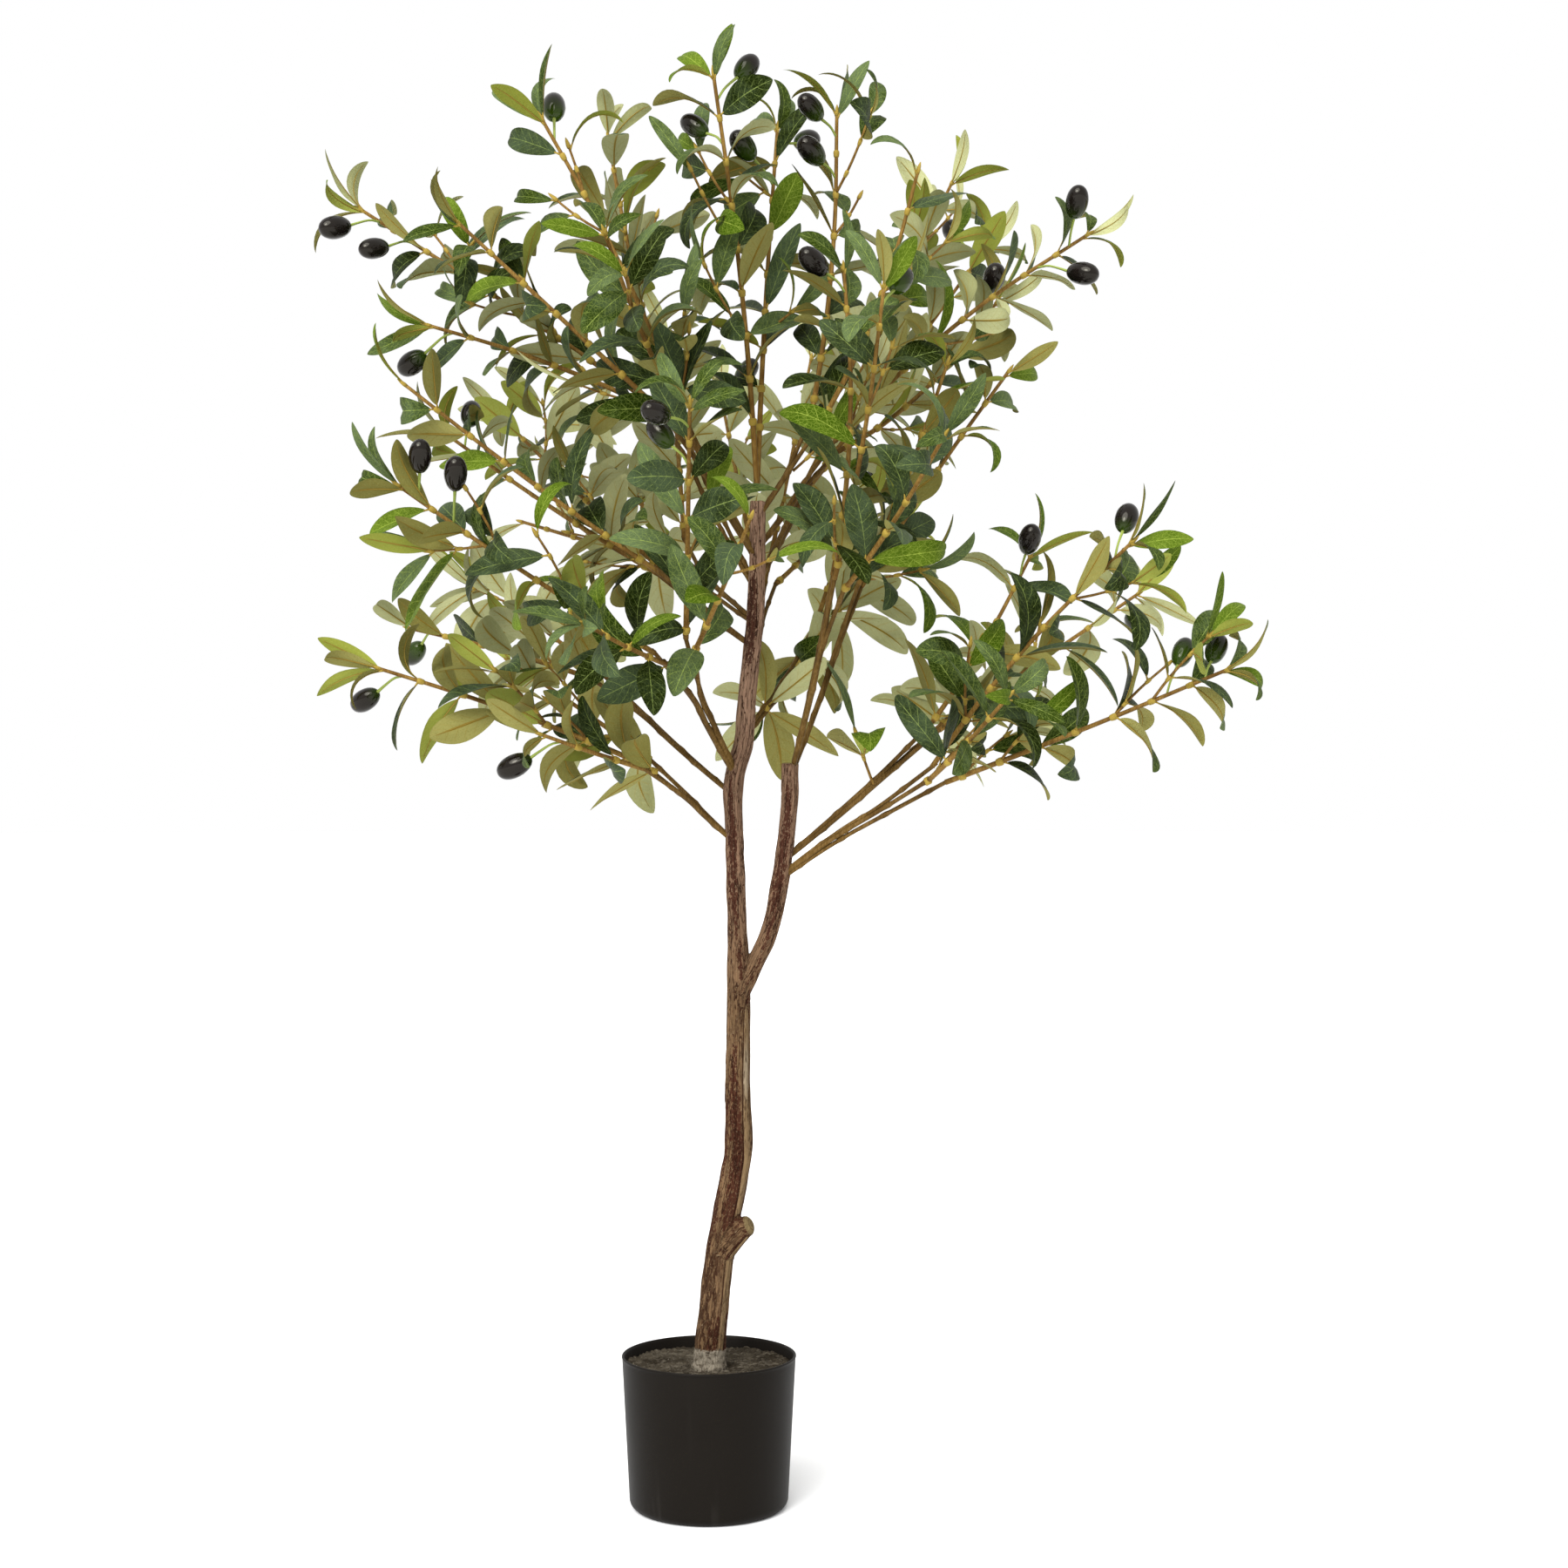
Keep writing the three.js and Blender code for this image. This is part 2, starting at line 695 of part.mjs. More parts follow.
const tree = new THREE.Group();
tree.add(meshOf('pot', potSolid(), FINISHES.pot));
tree.add(meshOf('pot_filling', cementSolid(), FINISHES.cement));
tree.add(meshOf('trunk', trunkSolid(), FINISHES.bark));
tree.add(meshOf('side_stem', sideStemSolid(), FINISHES.bark));
boughs.forEach((bough, index) => {
  if (bough.line !== null) {
    tree.add(meshOf(`bough_${bough.name}`, boughSolid(bough), FINISHES.stem));
  }
  tree.add(meshOf(`foliage_${bough.name}`, massSolid(bough, index), FINISHES.foliage));
});

export default tree;
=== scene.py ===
# %% [markdown]
# An artificial olive tree in a plain nursery pot
#
# The real object is made, not grown: a stiff trunk with a bark finish, plastic boughs moulded
# over wire, sprays that are pushed onto them, and leaves of printed fabric, dark green above and
# khaki below, in pairs along every twig. A few glossy olives hang near the tips. The trunk stands
# in a black nursery pot filled with cement. This lesson dresses the plain solids of that tree.

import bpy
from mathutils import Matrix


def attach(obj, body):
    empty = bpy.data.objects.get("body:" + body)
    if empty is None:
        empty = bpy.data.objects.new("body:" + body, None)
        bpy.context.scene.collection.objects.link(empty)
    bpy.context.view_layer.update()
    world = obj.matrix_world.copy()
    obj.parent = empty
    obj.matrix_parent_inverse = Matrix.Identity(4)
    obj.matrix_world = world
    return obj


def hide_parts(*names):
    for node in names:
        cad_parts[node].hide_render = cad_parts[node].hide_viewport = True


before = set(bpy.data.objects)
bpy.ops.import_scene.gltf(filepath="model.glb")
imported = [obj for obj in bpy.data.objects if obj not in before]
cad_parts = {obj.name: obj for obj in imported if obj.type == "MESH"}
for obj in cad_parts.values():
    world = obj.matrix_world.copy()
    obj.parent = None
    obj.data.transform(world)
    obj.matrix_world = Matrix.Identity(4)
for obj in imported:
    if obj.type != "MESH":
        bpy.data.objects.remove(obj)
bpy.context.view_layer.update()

# %% Other tools, and the unit
import math

import bpy
import numpy as np
from mathutils import Quaternion, Vector, noise

# The tree is laid out in millimetres, as its maker would measure it, and Blender works in metres
MM = 0.001

# %% [markdown]
# The camera and the studio
#
# The reference view is a level product shot from about two metres, half way up the tree. A long
# lens keeps the upright lines upright, so the camera needs no tilt. The background is plain
# white: a wide pale floor under a white sky gives that, with no edge where the two meet, and
# light from all round that keeps the shadows soft. One broad lamp adds the modelling, and one
# small lamp the bright spots on the olives.

# %% Camera
CAMERA_PLACE = (63.8, -2111, 614)
LENS = 56.94
SENSOR = 36

camera_data = bpy.data.cameras.new("camera")
camera_data.lens = LENS
camera_data.sensor_width = SENSOR
camera = bpy.data.objects.new("camera", camera_data)
camera.location = Vector(CAMERA_PLACE) * MM
camera.rotation_euler = (math.radians(90), 0, 0)
bpy.context.scene.collection.objects.link(camera)
bpy.context.scene.camera = camera
bpy.context.scene.view_settings.view_transform = "Standard"

# %% Light
SKY_STRENGTH = 1
LAMP_STRENGTH = 3.2
LAMP_SPREAD = 50
LAMP_TURNS = (48, 8, -28)
SMALL_LAMP_STRENGTH = 1.2
SMALL_LAMP_SPREAD = 19
SMALL_LAMP_TURNS = (58, 0, -24)

world = bpy.data.worlds.new("studio")
world.use_nodes = True
sky = world.node_tree.nodes["Background"]
sky.inputs["Color"].default_value = (1, 1, 1, 1)
sky.inputs["Strength"].default_value = SKY_STRENGTH
bpy.context.scene.world = world


def add_lamp(name, strength, spread, turns):
    lamp_data = bpy.data.lights.new(name, "SUN")
    lamp_data.energy = strength
    lamp_data.angle = math.radians(spread)
    lamp = bpy.data.objects.new(name, lamp_data)
    lamp.rotation_euler = [math.radians(turn) for turn in turns]
    bpy.context.scene.collection.objects.link(lamp)


add_lamp("broad lamp", LAMP_STRENGTH, LAMP_SPREAD, LAMP_TURNS)
add_lamp("small lamp", SMALL_LAMP_STRENGTH, SMALL_LAMP_SPREAD, SMALL_LAMP_TURNS)

# %% [markdown]
# Shader maths
#
# A finish is a graph of nodes, and a graph is easier to read as a formula. The class Wire wraps
# one output of a node and overloads the operators, so 1 - mask adds a Math node. Finish holds
# a material: its node method makes any other node from its type, settings and sockets.

# %% Formulas for finishes


class Wire:
    """One output of a node, which can be added and multiplied like a number."""

    def __init__(self, finish, socket):
        self.finish = finish
        self.socket = socket

    def maths(self, operation, *values):
        sockets = dict(enumerate(values))
        return self.finish.node("ShaderNodeMath", {"operation": operation}, sockets)

    def __add__(self, other):
        return self.maths("ADD", self, other)

    def __radd__(self, other):
        return self.maths("ADD", other, self)

    def __sub__(self, other):
        return self.maths("SUBTRACT", self, other)

    def __rsub__(self, other):
        return self.maths("SUBTRACT", other, self)

    def __mul__(self, other):
        return self.maths("MULTIPLY", self, other)

    def __rmul__(self, other):
        return self.maths("MULTIPLY", other, self)

    def __abs__(self):
        return self.maths("ABSOLUTE", self)

    def wrapped(self):
        """The part of a value after its whole number, so a ramp becomes a row of teeth."""
        return self.maths("FRACT", self)

    def larger(self, other):
        return self.maths("MAXIMUM", self, other)

    def smooth(self, low, high):
        """A mask that rises from 0 at low to 1 at high, or falls where low is above high."""
        limits = {"Value": self, "From Min": low, "From Max": high}
        return self.finish.node("ShaderNodeMapRange", {"interpolation_type": "SMOOTHSTEP"}, limits)


class Finish:
    """A material that is built up node by node."""

    def __init__(self, name, roughness, **constants):
        self.material = bpy.data.materials.new(name)
        self.material.use_nodes = True
        self.tree = self.material.node_tree
        self.shader = self.tree.nodes["Principled BSDF"]
        self.wear(Roughness=roughness, **constants)

    def wear(self, **sockets):
        """Feeds sockets of the shader itself: spaces in their names are written as underscores."""
        for name, value in sockets.items():
            self.feed(self.shader.inputs[name.replace("_", " ")], value)

    def feed(self, socket, value):
        if isinstance(value, Wire):
            self.tree.links.new(value.socket, socket)
        elif isinstance(value, tuple) and socket.type == "RGBA":
            socket.default_value = (*value, 1)
        else:
            socket.default_value = value

    def node(self, kind, settings=None, sockets=None, output=0):
        made = self.tree.nodes.new(kind)
        for name, value in (settings or {}).items():
            setattr(made, name, value)
        for name, value in (sockets or {}).items():
            self.feed(made.inputs[name], value)
        return Wire(self, made.outputs[output])

    def mix(self, mask, first, second):
        """One colour where the mask is 0, and another where it is 1."""
        sockets = {0: mask, 6: first, 7: second}
        return self.node("ShaderNodeMix", {"data_type": "RGBA"}, sockets, 2)

    def place(self):
        return self.node("ShaderNodeTexCoord", output="Object")

    def stretched(self, place, scale):
        """A place whose three directions are scaled apart, to draw a pattern out along one."""
        sockets = {0: place, 1: scale}
        return self.node("ShaderNodeVectorMath", {"operation": "MULTIPLY"}, sockets)

    def warped(self, place, scale, amount):
        """A place that noise has pushed about, so that straight borders come out crooked."""
        shake = self.node("ShaderNodeTexNoise", None, {"Vector": place, "Scale": scale}, "Color")
        sockets = {0: shake, 1: (amount, amount, amount), 2: place}
        return self.node("ShaderNodeVectorMath", {"operation": "MULTIPLY_ADD"}, sockets)

    def attribute(self, name, output="Fac"):
        """What a mesh keeps at each of its points under a name."""
        return self.node("ShaderNodeAttribute", {"attribute_name": name}, output=output)

    def parts_of(self, place):
        """The three numbers of a place, or of a point on the unrolled surface."""
        split = self.node("ShaderNodeSeparateXYZ", None, {0: place})
        return [Wire(self, output) for output in split.socket.node.outputs]

    def cloud(self, place, scale, detail=3, roughness=0.6):
        """Soft noise from 0 to 1. The scale counts its blotches in each unit of the place."""
        sockets = {"Vector": place, "Scale": scale, "Detail": detail, "Roughness": roughness}
        return self.node("ShaderNodeTexNoise", None, sockets)

    def cells(self, place, scale):
        """How far a point is from the nearest border between cells, as in crackle or a net."""
        settings = {"feature": "DISTANCE_TO_EDGE"}
        return self.node("ShaderNodeTexVoronoi", settings, {"Vector": place, "Scale": scale})

    def each_leaf(self):
        """A number from 0 to 1 that is the same all over one loose part of the mesh."""
        return self.node("ShaderNodeNewGeometry", output="Random Per Island")

    def raised(self, height, strength, depth):
        """A relief too fine for the mesh, which only turns the light."""
        sockets = {"Height": height, "Strength": strength, "Distance": depth}
        self.wear(Normal=self.node("ShaderNodeBump", None, sockets))


# %% [markdown]
# Numbers that look random
#
# Nothing in the tree may change from one run to the next. So no list of random numbers is drawn:
# each choice is worked out from its own keys, such as the bough, the spray and the leaf. The
# solids of the tree were grown with this same rule. The keys are stirred together by large odd
# numbers and shifts, until a small change in one of them changes the whole result.

# %% Seeded choices
WORD = 2 ** 32
FIRST_MIX = 2166136261
KEY_OFFSET = 977
KEY_FACTOR = 2654435761
KEY_SHIFT = 15
LAST_FACTOR = 2246822519
LAST_SHIFT = 13


def chance(*keys):
    """A number from 0 to 1 that is always the same for the same keys."""
    mixed = FIRST_MIX
    for key in keys:
        mixed = ((mixed ^ (key + KEY_OFFSET)) * KEY_FACTOR) % WORD
        mixed ^= mixed >> KEY_SHIFT
    mixed = mixed * LAST_FACTOR % WORD
    return (mixed ^ (mixed >> LAST_SHIFT)) / WORD


def between(limits, *keys):
    low, high = limits
    return low + (high - low) * chance(*keys)


def either_way(most, *keys):
    return between((-most, most), *keys)


print("a choice", round(chance(3, 1, 4), 4))

# %% What is chosen
# Each kind of choice adds a number of its own to its keys, so that a leaf's length, say, tells
# nothing about its width
SWING_KEY = 1
DROOP_KEY = 2
ROLL_KEY = 3
LENGTH_KEY = 4
WIDTH_KEY = 5
OPENNESS_KEY = 7
TUFT_OPENNESS_KEY = 8
KIND_KEY = 9
TUFT_LEAF_KEY = 9
CURL_KEY = 11
BEND_KEY = 12
TWIST_KEY = 13
FOLD_KEY = 14
WAVE_KEY = 15
PHASE_KEY = 16
OLIVE_TURN_KEY = 22
OLIVE_STALK_KEY = 23
OLIVE_LENGTH_KEY = 24
OLIVE_WIDTH_KEY = 25
TWIG_KEY = 31
TWIG_LENGTH_KEY = 32
TWIG_TUFT_KEY = 33
TWIG_PAIR_KEY = 34
TWIG_HALF_KEY = 35
SIDE_TWIG_KEY = 36
ODD_TWIG_KEY = 60
STAR_KEY = 70

# %% [markdown]
# Lines
#
# Trunk, boughs and twigs all follow lines. A line is a list of points, and a limb that droops or
# rises is laid out by its turn from +X towards +Y, its rise from the level, its length and how
# much its rise changes on the way.

# %% Lines through space
NEARLY_UPRIGHT = 0.2
SPLINE_STEPS = 16


def heading(turn, rise):
    """The direction of length 1 with that turn and rise, both in degrees."""
    level = math.cos(math.radians(rise))
    turned = math.radians(turn)
    return Vector((level * math.cos(turned), level * math.sin(turned), math.sin(math.radians(rise))))


def bent_line(start, turn, rise, length, bend, steps):
    """A line in even steps, whose rise has changed by bend degrees at its end."""
    line = [Vector(start)]
    for step in range(steps):
        steeper = bend * (step + 0.5) / steps
        line.append(line[-1] + heading(turn, rise + steeper) * (length / steps))
    return line


def line_length(line):
    return sum((after - before).length for before, after in zip(line, line[1:]))


def point_at(line, distance):
    """The point that far along a line, or straight on from its end where the line is shorter."""
    left = distance
    for before, after in zip(line, line[1:]):
        step = (after - before).length
        if left <= step:
            return before.lerp(after, left / step)
        left -= step
    return line[-2].lerp(line[-1], 1 + left / step)


def direction_at(line, distance):
    return (point_at(line, distance + 1) - point_at(line, distance - 1)).normalized()


def part_of_line(line, start, end, steps):
    return [point_at(line, start + (end - start) * step / steps) for step in range(steps + 1)]


def across_line(line):
    """Two directions across each point of a line, carried along it without twisting."""
    start = (line[1] - line[0]).normalized()
    side = Vector((-start.y, start.x, 0))
    if side.length < NEARLY_UPRIGHT:
        side = Vector((1, 0, 0))
    pairs = []
    for i in range(len(line)):
        before = line[max(i - 1, 0)]
        after = line[min(i + 1, len(line) - 1)]
        along = (after - before).normalized()
        side = (side - along * side.dot(along)).normalized()
        pairs.append((side, side.cross(along)))
    return pairs


def rounded(line, steps):
    """The same line with its corners rounded: a spline through its points, cut evenly."""
    ends = [line[0] * 2 - line[1], *line, line[-1] * 2 - line[-2]]
    fine = []
    for a, b, c, d in zip(ends, ends[1:], ends[2:], ends[3:]):
        for step in range(SPLINE_STEPS):
            t = step / SPLINE_STEPS
            curve = b * 2 + (c - a) * t + (a * 2 - b * 5 + c * 4 - d) * t ** 2
            fine.append((curve + (b * 3 - a - c * 3 + d) * t ** 3) / 2)
    fine.append(line[-1])
    return part_of_line(fine, 0, line_length(fine), steps)


# %% [markdown]
# Meshes from rings
#
# Almost everything here is a tube of some sort. A Pile gathers the points and faces of many
# small things, such as all the twigs, and makes one object of them at the end, which Blender
# handles far faster than a thousand objects.

# %% Piles of points and faces


class Pile:
    """Points, faces and their places on the unrolled surface, for one object."""

    def __init__(self, name):
        self.name = name
        self.points = []
        self.faces = []
        self.flats = []

    def add(self, points, faces, flats):
        base = len(self.points)
        self.points.extend(points)
        self.flats.extend(flats)
        self.faces.extend([[base + corner for corner in face] for face in faces])

    def add_grid(self, rows, flat_rows, closed=False, capped=False, turned_over=False):
        """Rows of points joined by four-sided faces. Closed rows run all the way round."""
        across = len(rows[0])
        around = across if closed else across - 1
        faces = []
        for row in range(len(rows) - 1):
            for i in range(around):
                j = (i + 1) % across
                low, high = row * across, (row + 1) * across
                if turned_over:
                    faces.append([low + i, high + i, high + j, low + j])
                else:
                    faces.append([low + i, low + j, high + j, high + i])
        if capped:
            last = (len(rows) - 1) * across
            faces.append(list(range(across - 1, -1, -1)))
            faces.append(list(range(last, last + across)))
        points = [point for row in rows for point in row]
        flats = [flat for row in flat_rows for flat in row]
        self.add(points, faces, flats)

    def make(self, finish, slot_name, replaced):
        """Makes the object, in metres, and hides the solids that it replaces; slot_name is not used.
        """
        mesh = bpy.data.meshes.new(self.name)
        places = [tuple(point) for point in np.array(self.points) * MM]
        mesh.from_pydata(places, [], self.faces)
        layer = mesh.uv_layers.new(name="flat")
        corners = np.empty(len(mesh.loops), dtype=np.int32)
        mesh.loops.foreach_get("vertex_index", corners)
        layer.data.foreach_set("uv", np.array(self.flats, dtype=np.float32)[corners].ravel())
        mesh.shade_smooth()
        mesh.materials.append(finish)
        piece = bpy.data.objects.new(self.name, mesh)
        bpy.context.scene.collection.objects.link(piece)
        dress(piece, replaced)


def dress(piece, replaced):
    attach(piece, "root")
    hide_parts(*replaced)
    triangles = sum(len(face.vertices) - 2 for face in piece.data.polygons)
    print(piece.name, "triangles", triangles)


def ring(centre, side, front, radius, sides):
    points = []
    for i in range(sides):
        turn = 2 * math.pi * i / sides
        points.append(centre + (side * math.cos(turn) + front * math.sin(turn)) * radius)
    return points


def add_tube(pile, line, radii, sides):
    """A closed tube along a line, with one radius for each of its points."""
    rows = []
    flats = []
    gone = 0
    for i, (side, front) in enumerate(across_line(line)):
        gone += (line[i] - line[i - 1]).length if i else 0
        rows.append(ring(line[i], side, -front, radii[i], sides))
        flats.append([(corner / sides, gone * MM) for corner in range(sides)])
    pile.add_grid(rows, flats, closed=True, capped=True)


# %% [markdown]
# The layout of the tree
#
# These are the driving sizes of the tree, the same as those that its solids were made from: the
# stations of the trunk and of the side stem, then every bough with the sprays at its tip. The
# boughs on the far side of the crown aren't seen in the reference view, and are laid out to
# keep it full from all sides.
#
# A rule alone gives a crown that is too even. On the real tree some twigs go their own way, in a
# few places leaves open wide like a star, and here and there the background shows through. These
# exceptions are few enough to be written down one by one, and the rule keeps clear of the gaps.

# %% Trunk stations: height, sideways, away from the viewer, radius
TRUNK_STATIONS = [
    (110, -0.8, 0, 12.5),
    (169, 4.4, 0, 12.1),
    (221, 10.4, 1, 11.8),
    (280, 21.5, 2, 11.5),
    (303, 25, 2, 11.6),
    (354, 24.2, 1, 10.2),
    (430, 25.2, -1, 9.2),
    (503, 24, -2, 7.4),
    (577, 21.3, -1, 7.2),
    (614, 20.8, 0, 7.8),
    (651, 29.7, 0, 8),
    (688, 32.6, 1, 7.5),
    (762, 39.6, 1, 6.9),
    (855, 41.5, 0, 6),
]
SIDE_STEM_STATIONS = [
    (436, 27, -1, 6.7),
    (466, 41.5, -1, 6.7),
    (503, 55.6, 0, 6.7),
    (577, 66.7, 0, 6.7),
    (632, 69.7, 0, 6.6),
]
STUB_HEIGHT = 228
STUB_RISE = 38
STUB_LENGTH = 27
STUB_RADIUS = 6.4

# %% Boughs: name, carrier, height, distance out, turn, rise, length, bend
# Sprays at each bough's tip: turn, rise where it starts, length, bend, number of olives
BOUGHS = [
    ("right_low_front", "side_stem", 534, 0, -10, 38, 122, -12,
     [(-12, 20, 282, 3, 2), (-29, 54, 285, -16, 1), (-62, 24, 170, 8, 0)]),
    ("right_low_back", "side_stem", 548, 0, 12, 38, 140, 4,
     [(34, 47, 215, 12, 1), (31, 30, 285, 0, 1), (60, 20, 160, 10, 0)]),
    ("centre_front", "side_stem", 632, 4.6, -62, 62, 126, 6,
     [(-20, 77, 285, 20, 1), (-67, 56, 275, 20, 1), (-58, 30, 210, 14, 0)]),
    ("centre_right", "side_stem", 632, 4.6, 45, 62, 130, 6,
     [(11, 58, 264, -5, 0), (-13, 62, 235, 10, 0)]),
    ("back_right", "trunk", 656, 0, 65, 29, 140, 6,
     [(61, 30, 215, 10, 0), (50, 60, 165, 10, 0), (-140, -50, 80, 0, 0)]),
    ("right_high", "trunk", 815, 0, 54, 41, 100, 6,
     [(28, 25, 255, 30, 1), (0, 50, 318, -20, 2)]),
    ("right_high_back", "trunk", 786, 0, 72, 33, 116, 6,
     [(36, 48, 345, 2, 1), (31, 60, 355, 2, 0), (60, 34, 230, 10, 0)]),
    ("top_right", "trunk", 838, 0, -5, 52, 58, 6,
     [(25, 77, 295, 14, 2), (-16, 57, 255, 20, 0)]),
    ("top", "trunk", 855, 0, 0, 90, 0, 6,
     [(-120, 84, 342, -12, 2), (70, 84, 322, -6, 2)]),
    ("left_high_front", "trunk", 806, 0, -141, 51, 106, 6,
     [(-153, 69, 285, -14, 1), (-171, 42, 260, 0, 0), (-118, 40, 200, 14, 0)]),
    ("left_high", "trunk", 780, 0, 140, 55, 172, 6,
     [(-178, 35, 325, -3, 2), (-164, 24, 225, -12, 1), (135, 67, 275, 10, 0)]),
    ("left_middle", "trunk", 732, 0, 153, 34, 70, 6,
     [(-170, 33, 295, 5, 0), (138, 34, 290, 4, 0), (168, 30, 260, 6, 1)]),
    ("front_left", "trunk", 622, 0, -126, 48, 98, 6,
     [(-86, 60, 235, 0, 2), (-70, 30, 200, 8, 0), (-160, 28, 280, 6, 2), (-120, 8, 150, 8, 0)]),
    ("left_low_back", "trunk", 606, 0, 154, 37, 128, 6,
     [(140, 28, 195, 6, 0), (172, 20, 200, -8, 1)]),
    ("left_low", "trunk", 566, 0, -168, 43, 62, 6,
     [(-168, 24, 265, -8, 1), (151, 33, 200, -4, 0), (-150, 14, 130, 4, 1)]),
    ("back", "trunk", 700, 0, 86, 28, 150, 6,
     [(104, 50, 280, 2, 1), (72, 56, 285, 4, 0), (62, 26, 245, 8, 1)]),
    ("back_left", "trunk", 752, 0, 118, 21, 134, 6,
     [(120, 34, 255, 6, 0), (98, 54, 280, 4, 1), (140, 12, 220, 4, 0)]),
]
STEM_FOOT = 12
BOUGH_ROOT_RADIUS = 3.6
BOUGH_TIP_RADIUS = 2.8

# Odd twigs: bough, its own line (0) or one of its sprays, share along that, turn, rise, length,
# size of the leaves
ODD_TWIGS = [
    ("right_low_back", 0, 0.68, 150, 66, 48, 1.15),
    ("right_low_back", 2, 0.5, 60, 60, 46, 1.0),
    ("left_high", 1, 0.7, -60, 20, 40, 1.0),
    ("top", 2, 0.8, 200, 30, 30, 1.0),
    ("back", 0, 0.37, 100, -60, 66, 1.1),
    ("front_left", 3, 0.7, -165, -10, 44, 1.1),
    ("top", 2, 0.42, -20, 30, 32, 0.9),
    ("centre_right", 1, 0.14, -20, 5, 52, 1.0),
    ("left_low_back", 1, 0.8, 170, 20, 44, 0.9),
    ("top_right", 0, 0.74, -10, 40, 40, 0.95),
]

# Stars of six leaves: bough, its own line (0) or one of its sprays, shares along that, first turn
STARS = [
    ("back_right", 0, (0.3, 0.92), 85),
    ("back_right", 1, (0.3,), 30),
]

# Gaps through which the background shows: sideways and height on the trunk's plane, as they are
# seen from the camera, and radius
SKY_GAPS = [
    (-125, 1190, 20),
    (-130, 1045, 20),
    (-140, 1140, 15),
    (-30, 1115, 16),
    (140, 1128, 24),
    (188, 1150, 13),
    (-168, 850, 20),
    (-140, 820, 17),
    (236, 772, 20),
    (310, 808, 12),
    (-197, 634, 17),
    (189, 630, 16),
    (61, 752, 18),
    (60, 786, 16),
    (10, 679, 13),
    (119, 1163, 14),
    (-254, 1107, 13),
    (180, 585, 24),
    (255, 592, 26),
    (352, 606, 30),
    (225, 862, 20),
    (-285, 738, 15),
    (-290, 965, 14),
    (0, 746, 10),
    (70, 898, 12),
    (22, 917, 10),
    (53, 945, 9),
    (69, 980, 10),
]

# Between these heights no leaf hangs in front of the trunk, within this distance of its middle
BARE_TRUNK = (640, 856)
BARE_TRUNK_HALF = 11

# %% Lay every bough and spray out along its line
ROOM_SHARED = 14
BOUGH_STEPS = 8
SPRAY_STEPS = 3


def station_line(stations):
    return [Vector((sideways, away, height)) for height, sideways, away, _ in stations]


def place_at_height(line, height):
    """The point of a rising line at a height, or its last point where it ends below that."""
    for before, after in zip(line, line[1:]):
        if height <= after.z:
            return before.lerp(after, (height - before.z) / (after.z - before.z))
    return line[-1].copy()


carriers = {"trunk": station_line(TRUNK_STATIONS), "side_stem": station_line(SIDE_STEM_STATIONS)}


class Bough:
    """One bough and the sprays at its tip: their lines, and the room that they own."""

    def __init__(self, index, name, carrier, height, out, turn, rise, length, bend, sprays):
        start = place_at_height(carriers[carrier], height) + heading(turn, 0) * out
        self.index = index
        self.name = name
        self.length = length
        self.room_shared = ROOM_SHARED
        self.whole = bent_line(start, turn, rise, length + STEM_FOOT, bend, BOUGH_STEPS)
        self.sprays = [
            (bent_line(self.whole[-1], turn, rise, length, bend, SPRAY_STEPS), olives)
            for turn, rise, length, bend, olives in sprays
        ]


boughs = [Bough(index, *row) for index, row in enumerate(BOUGHS)]
foliage_nodes = [f"foliage_{bough.name}" for bough in boughs]
bough_nodes = [f"bough_{bough.name}" for bough in boughs if bough.length]
print("boughs", len(bough_nodes), "sprays", sum(len(bough.sprays) for bough in boughs))

# %% [markdown]
# Room for every leaf
#
# Leaves of the real tree push each other aside. Here a leaf is tried at its natural opening, then
# closer to its twig, and left out if it still runs through another leaf, a twig, an olive or a
# limb, strays into the room of another mass, or would hide a gap. The tests work on whole arrays
# of points, because a thousand leaves are each compared with everything near them.

# %% Tests for room
LIMB_CLEARANCE = 3
TRUNK_CLEARANCE = 10
OLIVE_CLEARANCE = 10.5
NEAR_LEAVES = 75
NEAR_TWIGS = 150
NEARLY_NOUGHT = 1e-9


def stretches(lines):
    """Every straight stretch of some lines, as an array of starts and an array of ends."""
    starts = [before for line in lines for before in line[:-1]]
    ends = [after for line in lines for after in line[1:]]
    return np.array(starts), np.array(ends)


def distances(points, starts, ends):
    """How far each point is from each stretch."""
    points = np.array(points)[:, None, :]
    steps = ends - starts
    share = ((points - starts) * steps).sum(2) / (steps ** 2).sum(1)
    nearest = starts + np.clip(share, 0, 1)[..., None] * steps
    return np.linalg.norm(points - nearest, axis=2)


def goes_through(starts, ends, triangles):
    """Whether any of the stretches goes through any of the triangles."""
    steps = (ends - starts)[:, None, :]
    first = triangles[:, 1] - triangles[:, 0]
    second = triangles[:, 2] - triangles[:, 0]
    normal = np.cross(first, second)
    offset = starts[:, None, :] - triangles[:, 0]
    facing = -(steps * normal).sum(2)
    facing[np.abs(facing) < NEARLY_NOUGHT] = NEARLY_NOUGHT
    reach = (offset * normal).sum(2) / facing
    swept = np.cross(offset, steps)
    along_second = (second * swept).sum(2) / facing
    along_first = -(first * swept).sum(2) / facing
    inside = (along_second >= 0) & (along_first >= 0) & (along_second + along_first <= 1)
    return (inside & (reach >= 0) & (reach <= 1)).any()


stem_lines = [[line for line, _ in bough.sprays] for bough in boughs]
stem_starts, stem_ends = stretches([line for lines in stem_lines for line in lines])
stem_owners = np.array([
    bough.index for bough, lines in zip(boughs, stem_lines) for line in lines for _ in line[1:]
])
limb_starts, limb_ends = stretches([bough.whole for bough in boughs if bough.length])
trunk_starts, trunk_ends = stretches(carriers.values())


